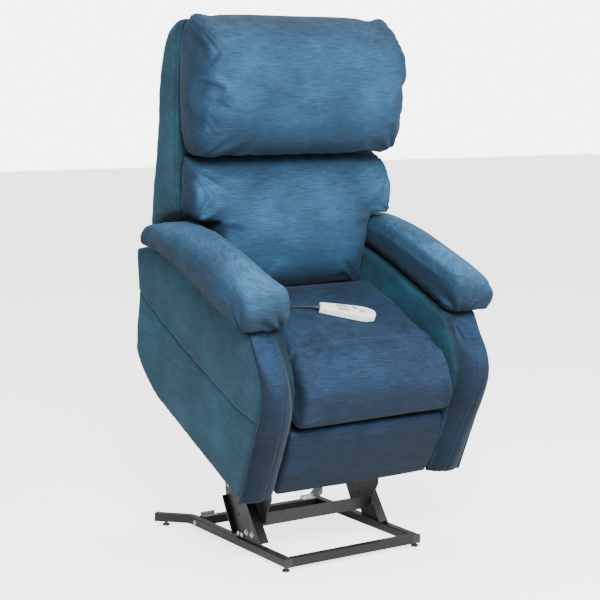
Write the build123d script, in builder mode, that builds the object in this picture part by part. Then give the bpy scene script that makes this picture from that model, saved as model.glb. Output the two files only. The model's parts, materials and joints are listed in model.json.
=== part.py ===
"""Lift recliner chair, shown at the top of its lift.

Millimetres, +Z up, +X to the sitter's left as seen from the front, the chair faces -Y.
The base stands on z = 0. The chair body is drawn level, in its own frame, and the frame is then
tipped forward and raised: a chair-frame point is (x, y towards the back, z up from the arm's lower edge).
"""

import math
import os

from build123d import *

# Driving dimensions
LIFT_TILT = 24.0          # forward tip of the chair body at full lift, degrees
LIFT_HEIGHT = 214.0       # chair frame's origin above the floor at full lift
BASE_FRONT = -242.0       # front face of the base in the row frame
SEAT_HALF = 264.0         # half of the seat cushion and footrest
ARM_INNER = 268.0
ARM_BOARD = 369.0         # outer face of the arm's inner structure
ARM_OUTER = 384.0
PAD_OUTER = 431.0
BACK_HALF = 345.0         # half width of the backrest above the arms
BACK_NECK = 262.0         # half width of the backrest between the arms

TUBE = 25.0               # square tube of the base
RAIL_OUTER = 235.0
RAIL_BOTTOM = 13.0
RAIL_TOP = RAIL_BOTTOM + TUBE
FLOOR_GAP = 0.2           # clearance between parts of one body that only lie together

RECLINE_PIVOT = (560.0, 300.0)      # chair frame
KNEE = (310.0, 190.0)               # upper lift pivot on the base, from the base's front
LIFT_ANCHOR = (170.0, 300.0)        # lower end of the chair body, from the base's front
FOOTREST_PIVOT = (66.0, 190.0)      # chair frame
FOOTREST_ARM = 125.0                # length of each of the two folding bars
PIN_RADIUS = 10.0
SMALL_PIN_RADIUS = 6.0
RUNNING_FIT = 0.05
PLATE = 4.0

SIN = math.sin(math.radians(LIFT_TILT))
COS = math.cos(math.radians(LIFT_TILT))
SIDES = {"left": 1, "right": -1}    # the sitter's left is +X

os.makedirs("parts", exist_ok=True)


def save(piece, name):
    """Labels one finished sub-part and writes its STEP file."""
    piece.part.label = name
    export_step(piece.part, f"parts/{name}.step")


def base_side(x):
    """Plane across X at x: local x runs back from the base's front, local y runs up."""
    return Plane(origin=(x, BASE_FRONT, 0), x_dir=(0, 1, 0), z_dir=(1, 0, 0))


def chair_side(x):
    """The same plane in the chair's own frame."""
    return Plane(origin=(x, BASE_FRONT, LIFT_HEIGHT), x_dir=(0, COS, SIN), z_dir=(1, 0, 0))


def chair_top(z):
    """Plane in the chair's frame at height z: local x is +X, local y runs to the back."""
    origin = (0, BASE_FRONT - z * SIN, LIFT_HEIGHT + z * COS)
    return Plane(origin=origin, x_dir=(1, 0, 0), z_dir=(0, -SIN, COS))


def in_chair(point):
    """A point given from the base's front, as (y, z) in the chair's frame."""
    y, z = point[0], point[1] - LIFT_HEIGHT
    return (y * COS + z * SIN, -y * SIN + z * COS)


def span(side, inner, outer):
    """The two x values of a piece that lies from inner to outer on one side."""
    return (inner, outer) if side > 0 else (-outer, -inner)


def slab(frame, low, high, outline, holes=()):
    """A flat piece with a straight-edged side outline, from x = low to x = high; holes are (y, z, radius)."""
    with BuildPart() as piece:
        with BuildSketch(frame(low)):
            with BuildLine():
                Polyline(*outline, close=True)
            make_face()
            for y, z, radius in holes:
                with Locations((y, z)):
                    Circle(radius, mode=Mode.SUBTRACT)
        extrude(amount=high - low)
    return piece


def block(frame, low, high, y_range, z_range):
    """A rectangular piece."""
    (y0, y1), (z0, z1) = y_range, z_range
    return slab(frame, low, high, [(y0, z0), (y1, z0), (y1, z1), (y0, z1)])


def cross_pin(frame, at, radius, spans):
    """One or more round pins along X at a side position."""
    with BuildPart() as piece:
        for low, high in spans:
            with BuildSketch(frame(low)):
                with Locations(at):
                    Circle(radius)
            extrude(amount=high - low)
    return piece


def hollow_bar(frame, low, high, y_range, z_range, wall=2.0):
    """A square tube along X, open at its ends."""
    (y0, y1), (z0, z1) = y_range, z_range
    with BuildPart() as piece:
        with BuildSketch(frame(low)):
            with Locations(((y0 + y1) / 2, (z0 + z1) / 2)):
                Rectangle(y1 - y0, z1 - z0)
                Rectangle(y1 - y0 - 2 * wall, z1 - z0 - 2 * wall, mode=Mode.SUBTRACT)
        extrude(amount=high - low)
    return piece


def both_sides(make):
    """One sub-part of two separate solids, the left one and the right one."""
    with BuildPart() as pair:
        for side in SIDES.values():
            add(make(side).part)
    return pair


# ---------------------------------------------------------------- base frame

SPLAY_START = 552.0
SPLAY_END = (300.0, 632.0)
BAR_FRONT = (-2.0, 20.0)
BAR_REAR = (503.0, 528.0)
FRONT_HOLE_X = 105.0
FOOT_HEIGHT = 12.0


def base_rail(side):
    """Straight side rail that splays outward behind the chair."""
    middle = side * (RAIL_OUTER - TUBE / 2)
    end_x = side * SPLAY_END[0]
    with BuildPart() as rail:
        with BuildLine() as route:
            FilletPolyline(
                (middle, BASE_FRONT + 2, RAIL_BOTTOM + TUBE / 2),
                (middle, BASE_FRONT + SPLAY_START, RAIL_BOTTOM + TUBE / 2),
                (end_x, BASE_FRONT + SPLAY_END[1], RAIL_BOTTOM + TUBE / 2),
                radius=40,
            )
        with BuildSketch(Plane(origin=route.line @ 0, x_dir=(1, 0, 0), z_dir=(0, 1, 0))):
            RectangleRounded(TUBE, TUBE, 3)
            Rectangle(TUBE - 4, TUBE - 4, mode=Mode.SUBTRACT)
        sweep(path=route.line)
    return rail


for name, side in SIDES.items():
    save(base_rail(side), f"base_rail_{name}")

BAR_HALF = RAIL_OUTER - TUBE - 1

with BuildPart() as base_front_bar:
    with BuildSketch(base_side(-BAR_HALF)):
        with Locations(((BAR_FRONT[0] + BAR_FRONT[1]) / 2, RAIL_BOTTOM + TUBE / 2)):
            Rectangle(BAR_FRONT[1] - BAR_FRONT[0], TUBE)
            Rectangle(BAR_FRONT[1] - BAR_FRONT[0] - 4, TUBE - 4, mode=Mode.SUBTRACT)
    extrude(amount=2 * BAR_HALF)
    with BuildSketch(Plane.XY.offset(RAIL_TOP)):
        with Locations((-FRONT_HOLE_X, BASE_FRONT + 14), (FRONT_HOLE_X, BASE_FRONT + 14)):
            Circle(3.5)
    extrude(amount=-4, mode=Mode.SUBTRACT)
save(base_front_bar, "base_front_bar")

save(hollow_bar(base_side, -BAR_HALF, BAR_HALF, BAR_REAR, (RAIL_BOTTOM, RAIL_TOP)), "base_rear_bar")

with BuildPart() as rail_caps:
    for side in SIDES.values():
        with Locations((side * (RAIL_OUTER - TUBE / 2), BASE_FRONT, RAIL_BOTTOM + TUBE / 2)):
            Box(TUBE + 1, 3.6, TUBE + 1)
        with Locations(Location(
            (side * (SPLAY_END[0] + 1.5), BASE_FRONT + SPLAY_END[1] + 1.6, RAIL_BOTTOM + TUBE / 2),
            (0, 0, -side * math.degrees(math.atan2(SPLAY_END[0] - RAIL_OUTER + TUBE / 2,
                                                   SPLAY_END[1] - SPLAY_START))),
        )):
            Box(TUBE + 1, 3.6, TUBE + 1)
save(rail_caps, "rail_end_caps")

with BuildPart() as levelling_feet:
    for side in SIDES.values():
        for x, y in ((225.0, 12.0), (279.0, 612.0)):
            with Locations((side * x, BASE_FRONT + y, 0)):
                Cylinder(11, 5, align=(Align.CENTER, Align.CENTER, Align.MIN))
            with Locations((side * x, BASE_FRONT + y, 5)):
                Cylinder(5, RAIL_BOTTOM - 5, align=(Align.CENTER, Align.CENTER, Align.MIN))
save(levelling_feet, "levelling_feet")

# Towers: bent plates on the rails that lean back and carry the upper lift pivot
TOWER_INNER = 222.0
TOWER_LOW_FRONT = (142.0, RAIL_TOP)
TOWER_MID_FRONT = (218.0, 141.0)
TOWER_TOP_FRONT = (262.0, 199.0)
TOWER_LOW_REAR = (276.0, RAIL_TOP)
TOWER_MID_REAR = (338.0, 148.0)
TOWER_HEAD = 26.0
TOWER_FOOT_FRONT = (147.2, 45.0)    # the flanges stop above the rail
TOWER_FOOT_REAR = (280.0, 45.0)
FLANGE_IN = 26.0
FLANGE_OUT = 14.0


def flange(frame, low, high, start, end, thickness=PLATE):
    """A strip that follows one straight plate edge, from x = low to x = high."""
    along = (end[0] - start[0], end[1] - start[1])
    length = math.hypot(*along)
    across = (along[1] / length * thickness, -along[0] / length * thickness)
    return slab(frame, low, high, [
        start, end,
        (end[0] - across[0], end[1] - across[1]),
        (start[0] - across[0], start[1] - across[1]),
    ])


def tower(side):
    """One lift tower: plate, flange turned in at the front and out at the back."""
    low, high = span(side, TOWER_INNER, TOWER_INNER + PLATE)
    in_low, in_high = span(side, TOWER_INNER - FLANGE_IN, TOWER_INNER)
    out_low, out_high = span(side, TOWER_INNER + PLATE, TOWER_INNER + PLATE + FLANGE_OUT)
    with BuildPart() as piece:
        with BuildSketch(base_side(low)):
            with BuildLine():
                Polyline(
                    TOWER_LOW_FRONT, TOWER_MID_FRONT, TOWER_TOP_FRONT,
                    (KNEE[0] - 8, KNEE[1] + TOWER_HEAD), (KNEE[0] + 14, KNEE[1] + TOWER_HEAD - 3),
                    (KNEE[0] + 34, KNEE[1] + 4), TOWER_MID_REAR, TOWER_LOW_REAR, close=True,
                )
            make_face()
            with Locations(KNEE):
                Circle(PIN_RADIUS + RUNNING_FIT, mode=Mode.SUBTRACT)
            with Locations((262, 107), (296, 118)):
                Circle(3.5, mode=Mode.SUBTRACT)
        extrude(amount=high - low)
        add(flange(base_side, in_low, in_high, TOWER_MID_FRONT, TOWER_FOOT_FRONT).part)
        add(flange(base_side, in_low, in_high, TOWER_TOP_FRONT, TOWER_MID_FRONT).part)
        add(flange(base_side, out_low, out_high, TOWER_FOOT_REAR, TOWER_MID_REAR).part)
    return piece


for name, side in SIDES.items():
    save(tower(side), f"lift_tower_{name}")

with BuildPart() as base_fittings:
    for side in SIDES.values():
        low, high = span(side, TOWER_INNER + PLATE, TOWER_INNER + PLATE + 7)
        with BuildSketch(base_side(low)):
            with Locations((258, 52), (238, 52)):
                RegularPolygon(7, 6)
        extrude(amount=high - low)
        low, high = span(side, RAIL_OUTER, RAIL_OUTER + 4)
        with BuildSketch(base_side(low)):
            with Locations((506, RAIL_BOTTOM + TUBE / 2)):
                Circle(7)
        extrude(amount=high - low)
        low, high = span(side, 158, 206)
        with BuildSketch(base_side(low)):
            with BuildLine():
                Polyline((506, RAIL_TOP), (526, RAIL_TOP), (526, 50), (523, 50), (523, 41), (506, 41), close=True)
            make_face()
        extrude(amount=high - low)
save(base_fittings, "base_fittings")

# ---------------------------------------------------------------- lift links

LINK_INNER = 186.0
CRANK = 120.0
CRANK_ANGLE = 150.0
CRANK_END = (
    KNEE[0] + CRANK * math.cos(math.radians(CRANK_ANGLE)),
    KNEE[1] + CRANK * math.sin(math.radians(CRANK_ANGLE)),
)
LINK_OUTLINE = [
    (178.0, 92.0), (284.0, 82.0), (318.0, 140.0), (338.0, 186.0), (330.0, 207.0), (310.0, 214.0),
    (184.0, 319.0), (168.0, 323.0), (150.0, 312.0), (147.0, 292.0), (146.0, 166.0), (172.0, 122.0),
]
TORQUE_TUBE = 16.0

LINK_HOLES = [(*KNEE, PIN_RADIUS), (*LIFT_ANCHOR, PIN_RADIUS + RUNNING_FIT), (242, 116, 3.5)]
save(both_sides(lambda side: slab(base_side, *span(side, LINK_INNER, LINK_INNER + PLATE), LINK_OUTLINE, LINK_HOLES)),
     "lift_links")

save(cross_pin(base_side, KNEE, PIN_RADIUS,
               [span(side, LINK_INNER, TOWER_INNER + PLATE + 9) for side in SIDES.values()]), "knee_pins")

with BuildPart() as torque_tube:
    with BuildSketch(base_side(-LINK_INNER)):
        with Locations(KNEE):
            Circle(TORQUE_TUBE)
            Circle(TORQUE_TUBE - 3, mode=Mode.SUBTRACT)
    extrude(amount=2 * LINK_INNER)
save(torque_tube, "lift_torque_tube")

with BuildPart() as cross_angle:
    with BuildSketch(base_side(-LINK_INNER + FLOOR_GAP)):
        with BuildLine():
            Polyline((170, 126), (174, 126), (205, 84), (240, 96), (242, 92), (203, 78), close=True)
        make_face()
    extrude(amount=2 * (LINK_INNER - FLOOR_GAP))
save(cross_angle, "lift_cross_angle")

EYE_HALF = 11.0


def crank_fork(frame, centre, pivot, tube_radius, end):
    """Two lever ears on a round tube, reaching from the tube's surface to the actuator's eye."""
    along = (end[0] - pivot[0], end[1] - pivot[1])
    length = math.hypot(*along)
    u = (along[0] / length, along[1] / length)
    n = (-u[1], u[0])
    near, far, half = tube_radius + 0.5, length + 13, 13
    corners = [
        (pivot[0] + u[0] * d + n[0] * w, pivot[1] + u[1] * d + n[1] * w)
        for d, w in ((near, -half), (far, -half), (far, half), (near, half))
    ]
    with BuildPart() as piece:
        for low in (centre - EYE_HALF - 5, centre + EYE_HALF):
            add(slab(frame, low, low + 5, corners, [(*end, SMALL_PIN_RADIUS)]).part)
    return piece


save(crank_fork(base_side, 0, KNEE, TORQUE_TUBE, CRANK_END), "lift_crank")

# ---------------------------------------------------------------- actuators


def chair_point(x, y, z):
    """Row-frame position of a chair-frame point."""
    return chair_side(x).from_local_coords((y, z, 0))


def actuator(x, anchor, end, stroke, motor_side, motor_length, label):
    """A screw actuator between two chair-frame side positions: tube and motor at anchor, rod out by stroke to end."""
    length = math.hypot(end[0] - anchor[0], end[1] - anchor[1])
    start = chair_point(x, *anchor)
    axis = (chair_point(x, *end) - start).normalized()
    along = Plane(origin=start, x_dir=(1, 0, 0), z_dir=axis)
    tube_length = length - stroke - 48
    with BuildPart() as tube:
        with BuildSketch(along.offset(-10)):
            RectangleRounded(2 * EYE_HALF - 2, 30, 6)
        extrude(amount=36)
        with BuildSketch(along.offset(24)):
            Circle(TUBE_RADIUS)
        extrude(amount=tube_length - 24)
        with BuildSketch(along.offset(28)):
            Circle(RUNNING_FIT + ROD_RADIUS)
        extrude(amount=tube_length, mode=Mode.SUBTRACT)
        with BuildSketch(chair_side(x - EYE_HALF)):
            with Locations(anchor):
                Circle(SMALL_PIN_RADIUS + RUNNING_FIT)
        extrude(amount=2 * EYE_HALF, mode=Mode.SUBTRACT)
    save(tube, f"{label}_actuator_tube")
    with BuildPart() as motor:
        with BuildSketch(along.offset(26)):
            with Locations((0, motor_side * (TUBE_RADIUS + 22.5 + FLOOR_GAP))):
                RectangleRounded(42, 45, 14)
        extrude(amount=motor_length)
    save(motor, f"{label}_actuator_motor")
    with BuildPart() as rod:
        with BuildSketch(along.offset(stroke + 32)):
            Circle(ROD_RADIUS)
        extrude(amount=length - stroke - 32 - 11)
        with BuildSketch(chair_side(x - EYE_HALF + 2)):
            with Locations(end):
                Circle(12)
        extrude(amount=2 * EYE_HALF - 4)
    save(rod, f"{label}_actuator_rod")


TUBE_RADIUS = 17.0
ROD_RADIUS = 9.0
LIFT_STROKE = 77.0
RECLINE_STROKE = 75.0
LIFT_ACTUATOR_ANCHOR = (145.0, 190.0)
RECLINE_ACTUATOR_ANCHOR = (150.0, 178.0)
RECLINE_CRANK_END = (RECLINE_PIVOT[0] + 30, RECLINE_PIVOT[1] - 76)
RECLINE_X = 150.0

actuator(0, LIFT_ACTUATOR_ANCHOR, in_chair(CRANK_END), LIFT_STROKE, -1, 70, "lift")
actuator(RECLINE_X, RECLINE_ACTUATOR_ANCHOR, RECLINE_CRANK_END, RECLINE_STROKE, 1, 90, "recline")

# ---------------------------------------------------------------- seat box

RAIL_Z = (180.0, 232.0)
FRONT_RAIL_Y = (96.0, 118.0)
REAR_RAIL_Y = (626.0, 648.0)
SIDE_RAIL = (244.0, 262.0)
SPRING_Z = 236.0
FRONT_TUBE_Y = (108.0, 133.0)
FRONT_TUBE_Z = (92.0, 117.0)
REAR_TUBE_Y = (596.0, 621.0)
REAR_TUBE_Z = (138.0, 163.0)
TUBE_HALF = 237.0

with BuildPart() as seat_rails:
    for side in SIDES.values():
        add(block(chair_side, *span(side, *SIDE_RAIL), (FRONT_RAIL_Y[0], REAR_RAIL_Y[1]), RAIL_Z).part)
    for y_range in (FRONT_RAIL_Y, REAR_RAIL_Y, (676, 694)):
        add(block(chair_side, FLOOR_GAP - SIDE_RAIL[0], SIDE_RAIL[0] - FLOOR_GAP, y_range, RAIL_Z).part)
save(seat_rails, "seat_rails")

with BuildPart() as cross_tubes:
    for y_range, z_range in ((FRONT_TUBE_Y, FRONT_TUBE_Z), (REAR_TUBE_Y, REAR_TUBE_Z)):
        add(hollow_bar(chair_side, -TUBE_HALF, TUBE_HALF, y_range, z_range).part)
save(cross_tubes, "cross_tubes")

with BuildPart() as frame_hangers:
    for side in SIDES.values():
        for (y0, y1), (z0, _) in ((FRONT_TUBE_Y, FRONT_TUBE_Z), (REAR_TUBE_Y, REAR_TUBE_Z)):
            low, high = span(side, TUBE_HALF, SIDE_RAIL[0])
            add(block(chair_side, low, high, (max(y0, FRONT_RAIL_Y[1] + FLOOR_GAP), y1), (z0, RAIL_Z[1] - 10)).part)
        outline = [(54, 176), (95.8, 182), (95.8, 226), (54, 206)]
        hole = (*FOOTREST_PIVOT, SMALL_PIN_RADIUS + RUNNING_FIT)
        add(slab(chair_side, *span(side, 234, 238), outline, [hole]).part)
save(frame_hangers, "frame_hangers")

ANCHOR = in_chair(LIFT_ANCHOR)
SIDE_PLATE = (178.0, 182.0)
SIDE_PLATE_OUTLINE = [
    (ANCHOR[0] - 16, ANCHOR[1] - 18), (ANCHOR[0] + 16, ANCHOR[1] - 18), (ANCHOR[0] + 24, ANCHOR[1] + 8),
    (FRONT_TUBE_Y[1] + 10, FRONT_TUBE_Z[0]), (FRONT_TUBE_Y[0] - 6, FRONT_TUBE_Z[0]),
]
save(both_sides(lambda side: slab(chair_side, *span(side, *SIDE_PLATE), SIDE_PLATE_OUTLINE, [(*ANCHOR, PIN_RADIUS)])),
     "lift_side_plates")

with BuildPart() as pivot_pins:
    for side in SIDES.values():
        add(cross_pin(chair_side, ANCHOR, PIN_RADIUS, [span(side, SIDE_PLATE[0] - 3, LINK_INNER + PLATE + 4)]).part)
        add(cross_pin(chair_side, RECLINE_PIVOT, 8, [span(side, 232, 267)]).part)
save(pivot_pins, "pivot_pins")

SPRING_RADIUS = 1.8
SPRING_SWING = 22.0
SPRING_PITCH = 27.0
SPRING_START = 112.0
SPRING_TURNS = 19
SPRING_X = (-200.0, -100.0, 0.0, 100.0, 200.0)


def zigzag(plane, x, start, turns, pitch):
    """One sinuous wire spring: equal runs across, joined by round bends."""
    points = [(x, start)]
    for i in range(turns):
        swing = SPRING_SWING if i % 2 else -SPRING_SWING
        points += [(x + swing, start + i * pitch + 8), (x + swing, start + (i + 1) * pitch)]
    points.append((x, start + turns * pitch + 8))
    with BuildPart() as spring:
        with BuildLine(plane) as route:
            FilletPolyline(*points, radius=7)
        with BuildSketch(Plane(origin=route.line @ 0, z_dir=route.line % 0)):
            Circle(SPRING_RADIUS)
        sweep(path=route.line)
    return spring


with BuildPart() as seat_springs:
    for x in SPRING_X:
        add(zigzag(chair_top(SPRING_Z - SPRING_RADIUS), x, SPRING_START, SPRING_TURNS, SPRING_PITCH).part)
save(seat_springs, "seat_springs")

CLEVIS_EAR = 5.0


def clevis(x, at, back_y, height):
    """Two ears from a rail or tube face at back_y to an actuator's end, with their pin."""
    y0, y1 = sorted((at[0] + (-12 if back_y > at[0] else 12), back_y))
    with BuildPart() as piece:
        for low in (x - EYE_HALF - CLEVIS_EAR, x + EYE_HALF):
            with BuildSketch(chair_side(low)):
                with Locations(((y0 + y1) / 2, at[1])):
                    Rectangle(y1 - y0, height)
            extrude(amount=CLEVIS_EAR)
        with BuildSketch(chair_side(x - EYE_HALF - CLEVIS_EAR)):
            with Locations(at):
                Circle(SMALL_PIN_RADIUS)
        extrude(amount=2 * (EYE_HALF + CLEVIS_EAR))
    return piece


with BuildPart() as actuator_clevises:
    add(clevis(0, LIFT_ACTUATOR_ANCHOR, FRONT_RAIL_Y[1], 24).part)
    add(clevis(RECLINE_X, RECLINE_ACTUATOR_ANCHOR, FRONT_RAIL_Y[1], 30).part)
save(actuator_clevises, "actuator_clevises")

RECLINE_BRACKET = (262.2, 266.2)
with BuildPart() as recline_brackets:
    for side in SIDES.values():
        outline = [(525, 184), (600, 184), (585, 318), (535, 318)]
        add(slab(chair_side, *span(side, *RECLINE_BRACKET), outline, [(*RECLINE_PIVOT, 8)]).part)
save(recline_brackets, "recline_brackets")

with BuildPart() as control_box:
    with BuildSketch(chair_side(-130)):
        with Locations((300, 210)):
            RectangleRounded(110, 42, 5)
    extrude(amount=70)
    with BuildSketch(chair_side(-107)):
        with Locations((366, 210)):
            Rectangle(22, 22)
            Rectangle(22, 12, mode=Mode.SUBTRACT)
    extrude(amount=24)
save(control_box, "control_box")

# ---------------------------------------------------------------- seat cushion and rear panel

with BuildPart() as seat_cushion:
    with BuildSketch(chair_side(-SEAT_HALF)):
        with BuildLine():
            Spline((14, 217), (-14, 246), (-20, 290), (-4, 332), (40, 374), (100, 396), (170, 404))
            Polyline((170, 404), (345, 404), (505, 384), (505, 240), (60, 240), (14, 217))
        make_face()
    extrude(amount=2 * SEAT_HALF)
save(seat_cushion, "seat_cushion")

REAR_PANEL_TOP = 300.0
with BuildPart() as rear_panel:
    with BuildSketch(chair_side(-SEAT_HALF)):
        with BuildLine():
            Polyline((664, 76), (684, 72), (702, 140), (744, 242), (764, REAR_PANEL_TOP), (746, REAR_PANEL_TOP),
                     (724, 242), (684, 140), close=True)
        make_face()
    extrude(amount=2 * SEAT_HALF)
save(rear_panel, "rear_panel")

# ---------------------------------------------------------------- arms

FRONT_SEAM = [(141, 456), (110, 425), (60, 385), (26, 340), (7, 262), (3, 150), (2, 0)]
TOP_SEAM = [(797, 362), (721, 403), (640, 428), (540, 444), (403, 451), (273, 453), (141, 456)]
POCKET_SEAM = [(6, 256), (80, 242), (152, 235), (330, 230), (486, 230), (654, 237), (752, 246)]
SEAM_GAP = 0.4
FRONT_GAP = 3.0


def side_outline(low_curve):
    """Draws the arm's side from the bottom corner round to the top and front."""
    Polyline((2, 0), (528, 0))
    Spline((528, 0), (604, 20), (664, 49), (694, 70), tangents=[(1, 0), (0.8, 0.6)])
    Polyline((694, 70), (752, 246), (797, 362))
    Spline(*TOP_SEAM)
    Spline(*low_curve)


def arm_core(side):
    """Padded board from the arm's inner face to its outer structure."""
    low, high = span(side, ARM_INNER, ARM_BOARD)
    with BuildPart() as piece:
        with BuildSketch(chair_side(low)):
            with BuildLine():
                side_outline(FRONT_SEAM)
            make_face()
        extrude(amount=high - low)
    return piece


def lower_panel(side):
    """Outer panel below the curved seam across the arm's side."""
    low, high = span(side, ARM_BOARD + SEAM_GAP, ARM_OUTER)
    with BuildPart() as piece:
        with BuildSketch(chair_side(low)):
            with BuildLine():
                Polyline(POCKET_SEAM[0], (2, 0), (528, 0))
                Spline((528, 0), (604, 20), (664, 49), (694, 70), tangents=[(1, 0), (0.8, 0.6)])
                Polyline((694, 70), POCKET_SEAM[-1])
                Spline(*reversed(POCKET_SEAM))
            make_face()
        extrude(amount=high - low)
    return piece


def upper_panel(side):
    """Outer panel above the curved seam."""
    low, high = span(side, ARM_BOARD + SEAM_GAP, ARM_OUTER)
    with BuildPart() as piece:
        with BuildSketch(chair_side(low)):
            with BuildLine():
                Spline(*[(y, z + SEAM_GAP) for y, z in POCKET_SEAM])
                Polyline((752, 246 + SEAM_GAP), (797, 362))
                Spline(*TOP_SEAM)
                Spline((141, 456), (110, 425), (60, 385), (26, 340), (6, 256 + SEAM_GAP))
            make_face()
        extrude(amount=high - low)
    return piece


def arm_front(side):
    """Padded front of the arm, crowned forward of the front seam."""
    low, high = span(side, 284, ARM_OUTER)
    with BuildPart() as piece:
        with BuildSketch(chair_side(low)):
            with BuildLine():
                Spline(*[(y - FRONT_GAP, z) for y, z in FRONT_SEAM])
                Polyline((2 - FRONT_GAP, 0), (-12, 0))
                Spline((-12, 0), (-20, 95), (-24, 189), (-27, 279), (-12, 348), (22, 389), (79, 425),
                       (141 - FRONT_GAP, 456))
            make_face()
        extrude(amount=high - low)
    return piece


def arm_pad(side):
    """Thick pad over the arm, wider than it on the outer side."""
    low, high = span(side, ARM_INNER + 2, PAD_OUTER)
    with BuildPart() as piece:
        with BuildSketch(chair_side(low)):
            with BuildLine():
                Spline((150, 462), (112, 488), (99, 530), (110, 575), (155, 597))
                Spline((155, 597), (243, 593), (337, 588), (452, 580), (538, 566), (648, 533), (712, 503))
                Spline((712, 503), (742, 478), (752, 440), (735, 404))
                Spline(*[(y, z + 6) for y, z in ((735, 398), (640, 429), (540, 445), (403, 453), (273, 456),
                                                (150, 456))])
            make_face()
        extrude(amount=high - low)
    return piece


save(both_sides(arm_core), "arm_cores")
save(both_sides(lower_panel), "arm_lower_panels")
save(both_sides(upper_panel), "arm_upper_panels")
save(both_sides(arm_front), "arm_fronts")
for name, side in SIDES.items():
    save(arm_pad(side), f"arm_pad_{name}")

with BuildPart() as arm_glides:
    for side in SIDES.values():
        for y in (30, 500):
            with BuildSketch(chair_top(0)):
                with Locations((side * 325, y)):
                    Circle(14)
            extrude(amount=-6)
save(arm_glides, "arm_glides")

# ---------------------------------------------------------------- footrest

FOOT_LINK_OUT = (228.0, 232.0)
FOOT_LINK_IN = (222.0, 226.0)
FOOT_BRACKET = (216.0, 220.0)
FOOT_LOW = (FOOTREST_PIVOT[0], FOOTREST_PIVOT[1] - FOOTREST_ARM)


def link_bar(low, high, top_hole, bottom_hole):
    """A flat upright bar with round ends and a hole at each pivot."""
    middle = ((FOOTREST_PIVOT[0] + FOOT_LOW[0]) / 2, (FOOTREST_PIVOT[1] + FOOT_LOW[1]) / 2)
    with BuildPart() as piece:
        with BuildSketch(chair_side(low)):
            with Locations(middle):
                SlotCenterToCenter(FOOTREST_ARM, 24, rotation=90)
            with Locations(FOOTREST_PIVOT):
                Circle(top_hole, mode=Mode.SUBTRACT)
            with Locations(FOOT_LOW):
                Circle(bottom_hole, mode=Mode.SUBTRACT)
        extrude(amount=high - low)
    return piece


FOOT_FIT = SMALL_PIN_RADIUS + RUNNING_FIT
save(both_sides(lambda side: link_bar(*span(side, *FOOT_LINK_OUT), SMALL_PIN_RADIUS, SMALL_PIN_RADIUS)),
     "footrest_arms")
save(both_sides(lambda side: link_bar(*span(side, *FOOT_LINK_IN), SMALL_PIN_RADIUS, FOOT_FIT)), "footrest_links")

with BuildPart() as footrest_arm_pins:
    for side in SIDES.values():
        add(cross_pin(chair_side, FOOT_LOW, SMALL_PIN_RADIUS, [span(side, 219, 232)]).part)
        add(cross_pin(chair_side, FOOTREST_PIVOT, SMALL_PIN_RADIUS, [span(side, 228, 240)]).part)
save(footrest_arm_pins, "footrest_arm_pins")
save(cross_pin(chair_side, FOOTREST_PIVOT, SMALL_PIN_RADIUS,
               [span(side, 213, 226) for side in SIDES.values()]), "footrest_link_pins")

PANEL_TOP = 206.0
with BuildPart() as footrest_board:
    with BuildSketch(chair_side(-SEAT_HALF + 6)):
        with Locations((44, 106)):
            Rectangle(12, 190)
    extrude(amount=2 * (SEAT_HALF - 6))
save(footrest_board, "footrest_board")

with BuildPart() as footrest_pad:
    with BuildSketch(chair_side(-SEAT_HALF)):
        with BuildLine():
            Polyline((37.8, PANEL_TOP), (37.8, 4), (12, 4))
            Spline((12, 4), (2, 60), (0, 110), (4, 170), (16, PANEL_TOP))
            Line((16, PANEL_TOP), (37.8, PANEL_TOP))
        make_face()
    extrude(amount=2 * SEAT_HALF)
save(footrest_pad, "footrest_pad")

with BuildPart() as footrest_brackets:
    for side in SIDES.values():
        outline = [(50.2, 172), (74, 176), (78, 190), (74, 202), (50.2, 202)]
        add(slab(chair_side, *span(side, *FOOT_BRACKET), outline, [(*FOOTREST_PIVOT, FOOT_FIT)]).part)
save(footrest_brackets, "footrest_brackets")

# ---------------------------------------------------------------- backrest

NECK_CLEARANCE = 218.0     # what lies between the arms turns outside this radius, or well inside it
WIDE_CLEARANCE = 272.0     # what lies over the arms turns outside this one


def arm_sweep(rear):
    """The space round the recline pivot that wide back pieces leave to the arms and, at the rear, to the rear panel."""
    with BuildPart() as space:
        for side in SIDES.values():
            low, high = span(side, BACK_NECK, BACK_HALF + 2)
            with BuildSketch(chair_side(low)):
                with Locations(RECLINE_PIVOT):
                    Circle(WIDE_CLEARANCE)
            extrude(amount=high - low)
        if rear:
            with BuildSketch(chair_side(-BACK_NECK)):
                with Locations(RECLINE_PIVOT):
                    Circle(NECK_CLEARANCE)
            extrude(amount=2 * BACK_NECK)
    return space.part


with BuildPart() as lumbar_cushion:
    with BuildSketch(chair_side(-BACK_HALF)):
        with BuildLine():
            Spline((512, 335), (514, 400), (530, 470), (552, 540), (580, 610), (612, 665), (660, 696))
            Polyline((660, 696), (738, 696), (640, 515), (584, 420), (556, 335), (512, 335))
        make_face()
    extrude(amount=2 * BACK_HALF)
    add(arm_sweep(rear=False), mode=Mode.SUBTRACT)
save(lumbar_cushion, "lumbar_cushion")

with BuildPart() as headrest_cushion:
    with BuildSketch(chair_side(-BACK_HALF - 6)):
        with BuildLine():
            Spline((742, 700), (676, 704), (634, 728), (614, 790), (622, 880), (654, 985), (706, 1054), (790, 1086),
                   (862, 1086))
            Polyline((862, 1086), (848, 985), (742, 700))
        make_face()
    extrude(amount=2 * (BACK_HALF + 6))
save(headrest_cushion, "headrest_cushion")

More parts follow.
